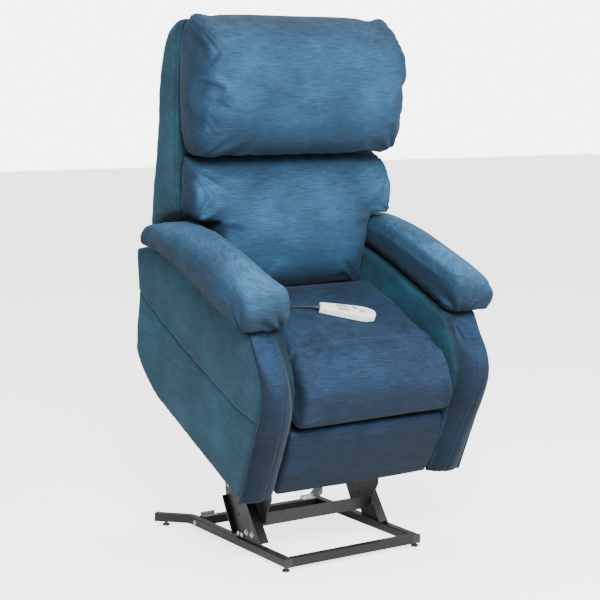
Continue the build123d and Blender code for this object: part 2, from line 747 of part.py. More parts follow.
with BuildPart() as back_shell:
    with BuildSketch(chair_side(-BACK_HALF)):
        with BuildLine():
            Polyline((786, 306), (826, 450), (941, 866))
            Spline((941, 866), (952, 935), (944, 990), (915, 1036), (868, 1072))
            Polyline((868, 1072), (853, 985), (744, 694), (640, 500), (660, 306), (786, 306))
        make_face()
    extrude(amount=2 * BACK_HALF)
    with BuildSketch(chair_side(-BACK_HALF + 10)):
        with BuildLine():
            Polyline((774, 300), (815, 452), (929, 867), (936, 930), (925, 985), (896, 1022), (866, 1046), (700, 1000),
                     (560, 500), (600, 300), close=True)
        make_face()
    extrude(amount=2 * (BACK_HALF - 10), mode=Mode.SUBTRACT)
    add(arm_sweep(rear=True), mode=Mode.SUBTRACT)
save(back_shell, "back_shell")

POST = (238.0, 256.0)
POST_OUTLINE = [
    (541, 300), (546, 286), (560, 280), (575, 287), (596, 350), (640, 425), (696, 505), (790, 690), (874, 880),
    (915, 980), (872, 1000), (842, 900), (756, 705), (650, 525), (590, 428), (556, 334), (543, 318),
]
save(both_sides(lambda side: slab(chair_side, *span(side, *POST), POST_OUTLINE, [(*RECLINE_PIVOT, 8 + RUNNING_FIT)])),
     "back_posts")

with BuildPart() as back_rails:
    for y, z in ((610, 395), (765, 660), (888, 960)):
        with BuildSketch(chair_side(-POST[0] + FLOOR_GAP)):
            with Locations((y, z)):
                Rectangle(20, 44, rotation=-16)
        extrude(amount=2 * (POST[0] - FLOOR_GAP))
save(back_rails, "back_rails")

with BuildPart() as recline_crank:
    for side in (-1, 1):
        low = RECLINE_X + (EYE_HALF if side > 0 else -EYE_HALF - 5)
        end = RECLINE_CRANK_END
        outline = [
            (end[0] - 14, end[1] - 12), (end[0] + 14, end[1] - 12), (end[0] + 16, end[1] + 20), (604, 370),
            (592, 376), (562, 300),
        ]
        add(slab(chair_side, low, low + 5, outline, [(*end, SMALL_PIN_RADIUS)]).part)
save(recline_crank, "recline_crank")

# ---------------------------------------------------------------- handset

HANDSET_CENTRE = (27.0, 272.0)
HANDSET_TURN = -25.6
HANDSET_LENGTH = 165.0
HANDSET_BOTTOM = 404.3
HANDSET_HEIGHT = 22.0
HANDSET_SPLIT = 11.0
BUTTON_TRAVEL = 1.0
BUTTON_RISE = 1.6


def handset_plane(z):
    """Plane in the handset's own directions: local x along it, away from its cord."""
    flat = chair_top(z)
    centre = flat.from_local_coords((*HANDSET_CENTRE, 0))
    turn = math.radians(HANDSET_TURN)
    along = flat.x_dir * math.cos(turn) + flat.y_dir * math.sin(turn)
    return Plane(origin=centre, x_dir=along, z_dir=flat.z_dir)


BUTTONS = {
    "button_raise": (-18.0, 8.5, "stadium"),
    "button_lower": (-14.0, -9.5, "stadium"),
    "button_open": (21.0, 9.0, "arrow"),
    "button_close": (41.0, -4.0, "arrow"),
}


def button_outline(kind, grow=0.0):
    """A stadium or a five-sided arrow, in the current sketch."""
    if kind == "stadium":
        SlotOverall(32 + 2 * grow, 12 + 2 * grow)
    else:
        RegularPolygon(9.5 + grow, 5, major_radius=True)


def handset_body(z, height):
    """The handset's outline, narrow at the cord and wide at the buttons, extruded from z."""
    with BuildPart() as body:
        with BuildSketch(handset_plane(z)):
            with BuildLine():
                Spline((-82, -14), (-40, -20), (10, -25), (55, -26), (80, -14))
                Spline((80, -14), (83, 0), (80, 14))
                Spline((80, 14), (55, 26), (10, 25), (-40, 20), (-82, 14))
                Line((-82, 14), (-82, -14))
            make_face()
        extrude(amount=height)
    return body


HANDSET_UP = Axis(handset_plane(0).origin, handset_plane(0).z_dir)
with BuildPart() as handset_base:
    add(handset_body(HANDSET_BOTTOM, HANDSET_SPLIT).part)
    fillet(faces().sort_by(HANDSET_UP)[0].outer_wire().edges(), 4)
save(handset_base, "handset_base")

with BuildPart() as handset_cover:
    add(handset_body(HANDSET_BOTTOM + HANDSET_SPLIT + FLOOR_GAP, HANDSET_HEIGHT - HANDSET_SPLIT - FLOOR_GAP).part)
    fillet(faces().sort_by(HANDSET_UP)[-1].outer_wire().edges(), 4)
    for x, y, kind in BUTTONS.values():
        with BuildSketch(handset_plane(HANDSET_BOTTOM + HANDSET_HEIGHT)):
            with Locations((x, y)):
                button_outline(kind, 0.35)
        extrude(amount=-5, mode=Mode.SUBTRACT)
save(handset_cover, "handset_cover")

for name, (x, y, kind) in BUTTONS.items():
    with BuildPart() as button:
        with BuildSketch(handset_plane(HANDSET_BOTTOM + HANDSET_HEIGHT - 3.4)):
            with Locations((x, y)):
                button_outline(kind)
        extrude(amount=3.4 + BUTTON_RISE)
    save(button, name)

CORD_RADIUS = 2.25
RELIEF_LENGTH = 16.0
with BuildPart() as handset_relief:
    exit_plane = handset_plane(HANDSET_BOTTOM + 10)
    mouth = exit_plane.from_local_coords((-82 - FLOOR_GAP, 0, 0))
    with BuildSketch(Plane(origin=mouth, x_dir=exit_plane.z_dir, z_dir=-exit_plane.x_dir)):
        Circle(6)
    tip = exit_plane.from_local_coords((-82 - RELIEF_LENGTH, 0, 0))
    with BuildSketch(Plane(origin=tip, x_dir=exit_plane.z_dir, z_dir=-exit_plane.x_dir)):
        Circle(CORD_RADIUS + 0.9)
    loft()
save(handset_relief, "handset_relief")

# The cord lies on the seat from the relief to a grommet in the left arm's inner face
GROMMET = (-SEAT_HALF, 352.0, 409.5)
CORD_ROUTE = [
    (-61.5, 314.4, 414.3),
    (-90.0, 327.5, 409.8),
    (-122.0, 334.0, 407.0),
    (-156.0, 336.0, 407.0),
    (-188.0, 341.0, 407.0),
    (-226.0, 350.5, 407.8),
    (-263.7, 352.0, 409.5),
]


def cord_fillets(points):
    """Largest tangent arc at each corner: 0.45 of the shorter run over the tangent of half the turn."""
    radii = []
    for a, b, c in zip(points, points[1:], points[2:]):
        first, second = Vector(*b) - Vector(*a), Vector(*c) - Vector(*b)
        half_turn = math.radians(first.get_angle(second)) / 2
        radii.append(0.45 * min(first.length, second.length) / math.tan(half_turn))
    return radii


def row_point(x, y, z):
    """Row-frame position of a chair-frame point, as a tuple."""
    return tuple(chair_top(z).from_local_coords((x, y, 0)))


cord_points = [row_point(*p) for p in CORD_ROUTE]
cord_radii = cord_fillets(cord_points)
print("cord radii", [round(r) for r in cord_radii])
print("cord points", [tuple(round(v, 2) for v in p) for p in cord_points])
with BuildPart() as handset_cord:
    with BuildLine() as route:
        FilletPolyline(*cord_points, radius=cord_radii)
    with BuildSketch(Plane(origin=route.line @ 0, z_dir=route.line % 0)):
        Circle(CORD_RADIUS)
    sweep(path=route.line)
save(handset_cord, "handset_cord")
cord_length = sum(edge.length for edge in route.edges())
print("cord length", round(cord_length, 1), "volume ratio",
      round(handset_cord.part.volume / (math.pi * CORD_RADIUS**2 * cord_length), 4))

with BuildPart() as cord_grommet:
    centre = Vector(*row_point(*GROMMET))
    with BuildSketch(Plane(origin=centre, x_dir=(0, 1, 0), z_dir=(-1, 0, 0))):
        Circle(6)
    extrude(amount=ARM_INNER - SEAT_HALF)
save(cord_grommet, "cord_grommet")
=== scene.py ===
"""Lift recliner chair: upholstery, steelwork, handset and stage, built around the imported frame.

Metres, +Z up, +X to the sitter's left, the chair faces -Y. Soft pieces are drawn in the chair's own level frame,
in millimetres (x, y towards the back, z up from the arm's lower edge), and carried into the raised, tipped position.
"""

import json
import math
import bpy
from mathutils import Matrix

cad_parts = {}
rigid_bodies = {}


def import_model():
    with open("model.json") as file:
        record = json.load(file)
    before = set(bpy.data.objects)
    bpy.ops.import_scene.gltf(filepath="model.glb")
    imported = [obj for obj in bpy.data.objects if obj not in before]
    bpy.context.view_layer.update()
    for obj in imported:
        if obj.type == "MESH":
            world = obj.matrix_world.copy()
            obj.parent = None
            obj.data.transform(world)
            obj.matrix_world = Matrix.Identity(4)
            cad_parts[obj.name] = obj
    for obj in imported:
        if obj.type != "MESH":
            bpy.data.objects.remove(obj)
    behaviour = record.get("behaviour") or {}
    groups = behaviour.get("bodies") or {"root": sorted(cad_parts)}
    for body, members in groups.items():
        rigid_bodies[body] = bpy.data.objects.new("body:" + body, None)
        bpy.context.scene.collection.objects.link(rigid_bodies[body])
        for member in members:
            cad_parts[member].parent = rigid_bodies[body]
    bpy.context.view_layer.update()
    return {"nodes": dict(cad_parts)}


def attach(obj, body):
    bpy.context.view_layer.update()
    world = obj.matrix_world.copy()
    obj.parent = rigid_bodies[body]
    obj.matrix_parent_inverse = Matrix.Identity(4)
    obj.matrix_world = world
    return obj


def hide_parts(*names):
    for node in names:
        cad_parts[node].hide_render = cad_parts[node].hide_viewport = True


bl_info = {
    "name": "Lift Recliner Chair",
    "version": (1, 0, 0),
    "blender": (4, 5, 0),
    "location": "View3D > Sidebar > Recliner",
    "description": "Upholstery, steelwork and handset of a lift recliner, built around its packed frame",
    "category": "Add Mesh",
}

import bmesh
import bpy
import numpy as np
from bpy.props import FloatProperty, FloatVectorProperty, IntProperty, PointerProperty
from bpy.types import Operator, Panel, PropertyGroup
from mathutils import Euler, Vector
from mathutils.bvhtree import BVHTree

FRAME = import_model()

TILT = math.radians(24)
LIFT_HEIGHT = 214.0
BASE_FRONT = -242.0
RECLINE_PIVOT = np.array([560.0, 300.0])
ARM_SWEEP = 262.0       # the wide parts of the back turn outside this radius
NECK_HALF = 261         # half the width of the back where it turns between the arms
FRONT_INNER, FRONT_WIDTH, FRONT_MIDDLE = 271, 111, 326.5    # an arm front's inner side, width and middle
FRONT_RINGS = 110
SWELL_FRAMES = 20       # how long the cushions' cloth simulation runs
FLOOR_DROP = 0.0005
SENSOR_WIDTH = 36
SIDES = {"left": 1, "right": -1}


# ------------------------------------------------------------------ places

def to_row(points):
    """Chair-frame millimetres to row-frame metres."""
    p = np.asarray(points, float)
    y = BASE_FRONT + p[..., 1] * math.cos(TILT) - p[..., 2] * math.sin(TILT)
    z = LIFT_HEIGHT + p[..., 1] * math.sin(TILT) + p[..., 2] * math.cos(TILT)
    return np.stack([p[..., 0], y, z], -1) / 1000


def to_chair(points):
    """Row-frame metres to chair-frame millimetres."""
    p = np.asarray(points, float) * 1000
    y, z = p[..., 1] - BASE_FRONT, p[..., 2] - LIFT_HEIGHT
    return np.stack([p[..., 0], y * math.cos(TILT) + z * math.sin(TILT),
                     z * math.cos(TILT) - y * math.sin(TILT)], -1)


def smoothstep(low, high, value):
    t = np.clip((value - low) / (high - low), 0, 1)
    return t * t * (3 - 2 * t)


def catmull(points, count):
    """A smooth open line through points, as count points."""
    p = np.asarray(points, float)
    p = np.vstack([2 * p[0] - p[1], p, 2 * p[-1] - p[-2]])
    out = []
    for t in np.linspace(0, len(p) - 3 - 1e-9, count):
        i, f = int(t), t - int(t)
        a, b, c, d = p[i:i + 4]
        out.append(0.5 * (2 * b + (c - a) * f + (2 * a - 5 * b + 4 * c - d) * f * f
                          + (3 * b - a - 3 * c + d) * f ** 3))
    return np.array(out)


def distance_to_line(points, line):
    """Distance of each point to a line of joined runs, in as many dimensions as both have."""
    best = np.full(len(points), 1e9)
    for a, b in zip(line, line[1:]):
        run = b - a
        t = np.clip(((points - a) @ run) / max(run @ run, 1e-9), 0, 1)
        best = np.minimum(best, np.linalg.norm(points - (a + t[:, None] * run), axis=1))
    return best


def cloth_noise(points, size, seed):
    """Smooth noise from -1 to 1 that changes over size millimetres. size may be one number or three."""
    q = points / np.asarray(size, float) + 1000
    base = np.floor(q).astype(int)
    f = q - base
    f = f * f * (3 - 2 * f)
    total = np.zeros(len(points))
    for corner in np.ndindex(2, 2, 2):
        c = base + corner
        h = (c[:, 0] * 73856093) ^ (c[:, 1] * 19349663) ^ (c[:, 2] * 83492791) ^ (seed * 2654435)
        h = (h ^ (h >> 13)) * 1274126177 & 0x7FFFFFFF
        weight = np.prod(np.where(np.array(corner), f, 1 - f), axis=1)
        total += weight * ((h % 20011) / 10005.5 - 1)
    return total


# ------------------------------------------------------------------ meshes

def coords(mesh):
    out = np.empty(len(mesh.vertices) * 3)
    mesh.vertices.foreach_get("co", out)
    return out.reshape(-1, 3)


def set_coords(mesh, points):
    mesh.vertices.foreach_set("co", np.asarray(points, float).ravel())
    mesh.update()


def normals(mesh):
    out = np.empty(len(mesh.vertices) * 3)
    mesh.vertex_normals.foreach_get("vector", out)
    return out.reshape(-1, 3)


def add_object(name, mesh):
    piece = bpy.data.objects.new(name, mesh)
    bpy.context.scene.collection.objects.link(piece)
    return piece


def solid_from_rings(name, rings):
    """A closed solid through rings of points (row frame), with both ends filled."""
    count = len(rings[0])
    shape = bmesh.new()
    rows = [[shape.verts.new(p) for p in ring] for ring in rings]
    for low, high in zip(rows, rows[1:]):
        for i in range(count):
            j = (i + 1) % count
            shape.faces.new((low[i], low[j], high[j], high[i]))
    shape.faces.new(rows[0][::-1])
    shape.faces.new(rows[-1])
    bmesh.ops.triangulate(shape, faces=[f for f in shape.faces if len(f.verts) > 4])
    bmesh.ops.recalc_face_normals(shape, faces=shape.faces)
    mesh = bpy.data.meshes.new(name)
    shape.to_mesh(mesh)
    shape.free()
    return add_object(name, mesh)


def resampled(outline, step=8.0):
    """A closed outline as evenly spaced points."""
    p = np.asarray(list(outline) + [outline[0]], float)
    runs = np.linalg.norm(np.diff(p, axis=0), axis=1)
    at = np.concatenate([[0], np.cumsum(runs)])
    where = np.arange(0, at[-1], step)
    return np.stack([np.interp(where, at, p[:, k]) for k in range(2)], -1)


def extruded(name, outline, low, high):
    """A solid of the outline (chair y, z) from x low to x high."""
    line = resampled(outline)
    return solid_from_rings(name, [to_row(np.column_stack([np.full(len(line), x), line])) for x in (low, high)])


def back_solid(name, outline, half, neck):
    """A back piece as two overlapping solids: neck wide between the arms, and half wide outside the arms' sweep."""
    narrow = extruded(name, outline, -neck, neck)
    line = resampled(outline, 4.0)
    out = line - RECLINE_PIVOT
    r = np.linalg.norm(out, axis=1)
    over = RECLINE_PIVOT + out * (np.maximum(r, ARM_SWEEP) / r)[:, None]
    wide = solid_from_rings(name, [to_row(np.column_stack([np.full(len(over), x), over])) for x in (-half, half)])
    both = bmesh.new()
    both.from_mesh(narrow.data)
    both.from_mesh(wide.data)
    both.to_mesh(narrow.data)
    both.free()
    bpy.data.objects.remove(wide)
    return narrow


def bake(piece):
    """Applies the piece's modifiers to its mesh."""
    evaluated = piece.evaluated_get(bpy.context.evaluated_depsgraph_get())
    mesh = bpy.data.meshes.new_from_object(evaluated)
    piece.modifiers.clear()
    piece.data = mesh
    return piece


def remesh(piece, voxel):
    grid = piece.modifiers.new("Even grid", "REMESH")
    grid.mode = "VOXEL"
    grid.voxel_size = voxel
    return bake(piece)


def relax(piece, passes):
    """Rounds the mesh by moving each point towards its neighbours' middle."""
    mesh = piece.data
    edges = np.empty(len(mesh.edges) * 2, int)
    mesh.edges.foreach_get("vertices", edges)
    edges = edges.reshape(-1, 2)
    ends = np.concatenate([edges[:, 0], edges[:, 1]])
    others = np.concatenate([edges[:, 1], edges[:, 0]])
    p = coords(mesh)
    degree = np.maximum(np.bincount(ends, minlength=len(p)), 1)
    for _ in range(passes):
        mean = np.stack([np.bincount(ends, p[others, k], len(p)) for k in range(3)], -1) / degree[:, None]
        p += 0.5 * (mean - p)
    set_coords(mesh, p)


def finer(piece):
    """One subdivision, applied."""
    more = piece.modifiers.new("Subdivision", "SUBSURF")
    more.levels = more.render_levels = 1
    bake(piece)


def puff(piece, cap, pressure, held):
    """Swells the mesh as cloth under pressure, at most cap millimetres; held(points) says what is fixed."""
    scene = bpy.context.scene
    before = coords(piece.data)
    group = piece.vertex_groups.new(name="held")
    group.add([int(i) for i in np.nonzero(held(to_chair(before)))[0]], 1.0, "REPLACE")
    cloth = piece.modifiers.new("Puff", "CLOTH")
    cloth.settings.quality = 4
    cloth.settings.mass = 0.3
    cloth.settings.tension_stiffness = cloth.settings.compression_stiffness = 12
    cloth.settings.shear_stiffness = 5
    cloth.settings.bending_stiffness = 0.4
    cloth.settings.use_pressure = True
    cloth.settings.uniform_pressure_force = pressure
    cloth.settings.vertex_group_mass = "held"
    cloth.settings.effector_weights.gravity = 0
    cloth.collision_settings.use_collision = False
    cloth.point_cache.frame_start, cloth.point_cache.frame_end = 1, SWELL_FRAMES
    for frame in range(1, SWELL_FRAMES + 1):
        scene.frame_set(frame)
    bake(piece)
    scene.frame_set(1)
    piece.vertex_groups.clear()
    move = coords(piece.data) - before
    length = np.linalg.norm(move, axis=1)
    limit = cap / 1000
    share = np.where(length > 1e-9, limit * np.tanh(length / limit) / np.maximum(length, 1e-9), 1)
    set_coords(piece.data, before + move * share[:, None])


def press(piece, depth):
    """Moves each point along its normal by depth(chair points, normals) millimetres."""
    p, n = coords(piece.data), normals(piece.data)
    set_coords(piece.data, p + n * (depth(to_chair(p), n) / 1000)[:, None])


def reshape(piece, change):
    """Moves each point to change(chair points)."""
    set_coords(piece.data, to_row(change(to_chair(coords(piece.data)))))


def gathers(points, at, across, count, reach, depth, seed=0):
    """Pleats that run out from a point: across is two axes, as indices, whose angle they follow."""
    away = points - np.array(at, float)
    angle = np.arctan2(away[:, across[1]], away[:, across[0]])
    r = np.linalg.norm(away, axis=1)
    wave = np.sin(angle * count + 1.3 * np.sin(angle * 2.3 + seed) + seed)
    return depth * wave * smoothstep(0.08, 0.3, r / reach) * (1 - smoothstep(0.35, 1, r / reach))


def upholster(piece, body, nodes, finish="front"):
    """Gives a padded piece its cloth, smooth shading and body, and hides the CAD solids it stands for."""
    piece.data.materials.clear()
    piece.data.materials.append(chenille(finish))
    piece.data.shade_smooth()
    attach(piece, body)
    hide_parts(*nodes)


# ------------------------------------------------------------------ materials

def material(name):
    """A new node material: its nodes, its links and its shader."""
    found = bpy.data.materials.new(name)
    found.use_nodes = True
    tree = found.node_tree
    return found, tree.nodes, tree.links, tree.nodes["Principled BSDF"]


def grain_coordinates(nodes, links, scale, turn=TILT):
    """Object coordinates turned to the chair's own frame and stretched."""
    place = nodes.new("ShaderNodeTexCoord")
    level = nodes.new("ShaderNodeMapping")
    level.vector_type = "TEXTURE"
    level.inputs["Rotation"].default_value = (turn, 0, 0)
    links.new(place.outputs["Object"], level.inputs["Vector"])
    stretch = nodes.new("ShaderNodeMapping")
    stretch.inputs["Scale"].default_value = scale
    links.new(level.outputs["Vector"], stretch.inputs["Vector"])
    return stretch.outputs["Vector"]


def noise_texture(nodes, links, vector, scale, detail=2.0, roughness=0.5, distortion=0.0):
    grain = nodes.new("ShaderNodeTexNoise")
    grain.inputs["Scale"].default_value = scale
    grain.inputs["Detail"].default_value = detail
    grain.inputs["Roughness"].default_value = roughness
    grain.inputs["Distortion"].default_value = distortion
    links.new(vector, grain.inputs["Vector"])
    return grain.outputs["Fac"]


def grey(value):
    return (value,) * 3


def ramp(nodes, links, factor, stops):
    """A colour ramp over stops of (position, colour)."""
    colours = nodes.new("ShaderNodeValToRGB")
    band = colours.color_ramp
    while len(band.elements) < len(stops):
        band.elements.new(0.5)
    for element, (position, colour) in zip(band.elements, stops):
        element.position = position
        element.color = (*colour, 1)
    links.new(factor, colours.inputs["Fac"])
    return colours.outputs["Color"]


def blended(nodes, links, mode, factor, first, second):
    mix = nodes.new("ShaderNodeMix")
    mix.data_type = "RGBA"
    mix.blend_type = mode
    mix.inputs["Factor"].default_value = factor
    links.new(first, mix.inputs[6])
    links.new(second, mix.inputs[7])
    return mix.outputs[2]


def bump(nodes, links, height, strength, distance, below=None):
    relief = nodes.new("ShaderNodeBump")
    relief.inputs["Strength"].default_value = strength
    relief.inputs["Distance"].default_value = distance
    links.new(height, relief.inputs["Height"])
    if below:
        links.new(below, relief.inputs["Normal"])
    return relief.outputs["Normal"]


# Painted light and shade: each finish's base colour is multiplied by the stops below, by how each face turns towards
# that finish's fixed direction. Faces turned this way get the full colour, a little brighter, and the others up to
# about six times darker.
PAINTED_LIGHT_DIRECTIONS = {"front": (-0.1, -0.99, 0.1), "seat": (0.0, -0.75, 0.66), "side": (-0.75, 0.5, 0.4),
            "pad": (0.0, -0.4, 0.91)}
PAINTED_SHADE_STOPS = ((0.0, 0.22), (0.4, 0.4), (0.7, 0.55), (0.87, 0.8), (1.0, 1.3))


def chenille(finish):
    """Brushed chenille: broad patches where the pile lies differently, fine slubs across the cloth, a soft sheen, and
    painted light and shade that brighten or darken the base colour by which way each face turns.
    """
    name = f"chenille_{finish}"
    if name in bpy.data.materials:
        return bpy.data.materials[name]
    cloth = bpy.context.scene.recliner_cloth
    # The finish's colour is one of the cloth's lit or shaded copies, so it carries painted light or shade.
    tone = np.array(getattr(cloth, f"{finish}_colour"))
    found, nodes, links, shader = material(name)
    broad = noise_texture(nodes, links, grain_coordinates(nodes, links, (1, 1, 1.4)), 7.0, 3.0, 0.55, 0.4)
    patches = ramp(nodes, links, broad, [(0.3, tone * 0.72), (0.52, tone), (0.72, tone * 1.42)])
    slub = noise_texture(nodes, links, grain_coordinates(nodes, links, (28, 28, 520)), 1.0, 3.0, 0.62)
    streaks = ramp(nodes, links, slub, [(0.28, grey(0.62)), (0.5, grey(1.0)), (0.74, grey(1.4))])
    fibre = noise_texture(nodes, links, grain_coordinates(nodes, links, (420, 420, 900)), 1.0, 1.0, 0.6)
    flecks = ramp(nodes, links, fibre, [(0.3, grey(0.72)), (0.7, grey(1.26))])
    colour = blended(nodes, links, "MULTIPLY", 1.0, patches, streaks)
    colour = blended(nodes, links, "MULTIPLY", 0.8, colour, flecks)
    # Painted light and shade: the base colour is multiplied by a ramp over how far each face's normal turns towards the
    # finish's fixed direction.
    place = nodes.new("ShaderNodeTexCoord")
    facing = nodes.new("ShaderNodeVectorMath")
    facing.operation = "DOT_PRODUCT"
    facing.inputs[1].default_value = PAINTED_LIGHT_DIRECTIONS[finish]
    links.new(place.outputs["Normal"], facing.inputs[0])
    lay = nodes.new("ShaderNodeMapRange")
    lay.inputs["From Min"].default_value = -0.4
    links.new(facing.outputs["Value"], lay.inputs["Value"])
    painted_shade = ramp(nodes, links, lay.outputs["Result"], [(at, grey(value)) for at, value in PAINTED_SHADE_STOPS])
    colour = blended(nodes, links, "MULTIPLY", 1.0, colour, painted_shade)
    links.new(colour, shader.inputs["Base Color"])
    rough = ramp(nodes, links, slub, [(0.2, grey(0.93)), (0.8, grey(0.76))])
    links.new(rough, shader.inputs["Roughness"])
    shader.inputs["Specular IOR Level"].default_value = 0.25
    shader.inputs["Sheen Weight"].default_value = cloth.sheen
    shader.inputs["Sheen Roughness"].default_value = 0.38
    shader.inputs["Sheen Tint"].default_value = (0.55, 0.8, 1.0, 1)
    pile = bump(nodes, links, fibre, 0.35, 0.0006)
    links.new(bump(nodes, links, slub, 0.55, 0.0012, pile), shader.inputs["Normal"])
    return found


def powder_coat():
    """Satin black powder coat with its fine orange-peel and dust on it."""
    found, nodes, links, shader = material("powder_coat")
    colour = bpy.context.scene.recliner_steel.coat_colour
    vector = grain_coordinates(nodes, links, (1, 1, 1), 0)
    dust = noise_texture(nodes, links, vector, 38, 4, 0.6)
    tone = np.array(colour)
    links.new(ramp(nodes, links, dust, [(0.35, tone * 0.8), (0.62, tone), (0.8, tone * 2.2)]),
              shader.inputs["Base Color"])
    links.new(ramp(nodes, links, dust, [(0.3, grey(0.34)), (0.75, grey(0.5))]), shader.inputs["Roughness"])
    peel = noise_texture(nodes, links, vector, 900, 1, 0.5)
    links.new(bump(nodes, links, peel, 0.25, 0.0004), shader.inputs["Normal"])
    return found


def plated(name, colour, roughness):
    """Plated metal with fine drawn lines and uneven tarnish."""
    found, nodes, links, shader = material(name)
    shader.inputs["Metallic"].default_value = 1.0
    vector = grain_coordinates(nodes, links, (1, 1, 1), 0)
    tarnish = noise_texture(nodes, links, vector, 60, 4, 0.6)
    tone = np.array(colour)
    links.new(ramp(nodes, links, tarnish, [(0.3, tone * 0.7), (0.7, tone)]), shader.inputs["Base Color"])
    links.new(ramp(nodes, links, tarnish, [(0.3, grey(roughness + 0.15)), (0.7, grey(roughness))]),
              shader.inputs["Roughness"])
    lines = noise_texture(nodes, links, grain_coordinates(nodes, links, (60, 1500, 1500), 0), 1, 2, 0.5)
    links.new(bump(nodes, links, lines, 0.15, 0.0003), shader.inputs["Normal"])
    return found


def moulded(name, colour, roughness, texture=0.2, coat=0.0):
    """Moulded plastic: a slight mottle, and a spark-eroded grain."""
    found, nodes, links, shader = material(name)
    vector = grain_coordinates(nodes, links, (1, 1, 1), 0)
    mottle = noise_texture(nodes, links, vector, 24, 3, 0.6)
    tone = np.array(colour)
    links.new(ramp(nodes, links, mottle, [(0.35, tone * 0.94), (0.65, tone)]), shader.inputs["Base Color"])
    links.new(ramp(nodes, links, mottle, [(0.3, grey(roughness)), (0.7, grey(roughness + 0.06))]),
              shader.inputs["Roughness"])
    shader.inputs["Coat Weight"].default_value = coat
    grain = noise_texture(nodes, links, vector, 2200, 1, 0.5)
    links.new(bump(nodes, links, grain, texture, 0.0002), shader.inputs["Normal"])
    return found


def sawn_timber():
    """Dark-stained softwood with its grain along the board."""
    found, nodes, links, shader = material("sawn_timber")
    vector = grain_coordinates(nodes, links, (3, 60, 60))
    rings = noise_texture(nodes, links, vector, 1.0, 5, 0.6, 0.6)
    stain = [(0.3, (0.018, 0.013, 0.009)), (0.5, (0.03, 0.022, 0.015)), (0.7, (0.045, 0.034, 0.024))]
    links.new(ramp(nodes, links, rings, stain), shader.inputs["Base Color"])
    links.new(ramp(nodes, links, rings, [(0.3, grey(0.7)), (0.7, grey(0.86))]), shader.inputs["Roughness"])
    links.new(bump(nodes, links, rings, 0.3, 0.0006), shader.inputs["Normal"])
    return found


def paint(finish, *names):
    """Gives CAD nodes a material."""
    for name in names:
        mesh = FRAME["nodes"][name].data
        mesh.materials.clear()
        mesh.materials.append(finish)


# ------------------------------------------------------------------ geometry nodes

def node_tree(name, sizes):
    """An empty geometry tree with named float inputs: its tree, nodes, links, input and output."""
    tree = bpy.data.node_groups.new(name, "GeometryNodeTree")
    tree.interface.new_socket("Geometry", in_out="INPUT", socket_type="NodeSocketGeometry")
    for label, value in sizes.items():
        socket = tree.interface.new_socket(label, in_out="INPUT", socket_type="NodeSocketFloat")
        socket.default_value = value
    tree.interface.new_socket("Geometry", in_out="OUTPUT", socket_type="NodeSocketGeometry")
    nodes = tree.nodes
    return tree, nodes, tree.links, nodes.new("NodeGroupInput"), nodes.new("NodeGroupOutput")


def lay_out(nodes, links, points, shape, facing, output, finish):
    """Ends a tree: the shape at each point, turned so that its Z follows facing, with its material."""
    lay = nodes.new("GeometryNodeInstanceOnPoints")
    links.new(points.outputs["Points"], lay.inputs["Points"])
    links.new(shape, lay.inputs["Instance"])
    align = nodes.new("FunctionNodeAlignRotationToVector")
    align.axis = "Z"
    links.new(facing, align.inputs["Vector"])
    links.new(align.outputs["Rotation"], lay.inputs["Rotation"])
    realized = nodes.new("GeometryNodeRealizeInstances")
    painted = nodes.new("GeometryNodeSetMaterial")
    painted.inputs["Material"].default_value = finish
    links.new(lay.outputs["Instances"], realized.inputs["Geometry"])
    links.new(realized.outputs["Geometry"], painted.inputs["Geometry"])
    links.new(painted.outputs["Geometry"], output.inputs["Geometry"])


def run_tree(name, mesh, tree, sizes):
    """Runs the tree over a mesh with those sizes and returns the result as a plain piece."""
    piece = add_object(name, mesh)
    grown = piece.modifiers.new("Grow", "NODES")
    grown.node_group = tree
    for item in tree.interface.items_tree:
        if item.item_type == "SOCKET" and item.in_out == "INPUT" and item.name in sizes:
            grown[item.identifier] = sizes[item.name]
    bake(piece)
    return piece


def stitch_tree(thread):
    """Stitches along lines: one short thread every pitch, lying along the line."""
    tree, nodes, links, given, output = node_tree(
        "Seam stitches", {"Pitch": 0.006, "Stitch length": 0.0045, "Thread radius": 0.0006})
    curve = nodes.new("GeometryNodeMeshToCurve")
    links.new(given.outputs["Geometry"], curve.inputs["Mesh"])
    points = nodes.new("GeometryNodeCurveToPoints")
    points.mode = "LENGTH"
    links.new(curve.outputs["Curve"], points.inputs["Curve"])
    links.new(given.outputs["Pitch"], points.inputs["Length"])
    thread_shape = nodes.new("GeometryNodeMeshCylinder")
    thread_shape.inputs["Vertices"].default_value = 6
    links.new(given.outputs["Stitch length"], thread_shape.inputs["Depth"])
    links.new(given.outputs["Thread radius"], thread_shape.inputs["Radius"])
    lay_out(nodes, links, points, thread_shape.outputs["Mesh"], points.outputs["Tangent"], output, thread)
    return tree


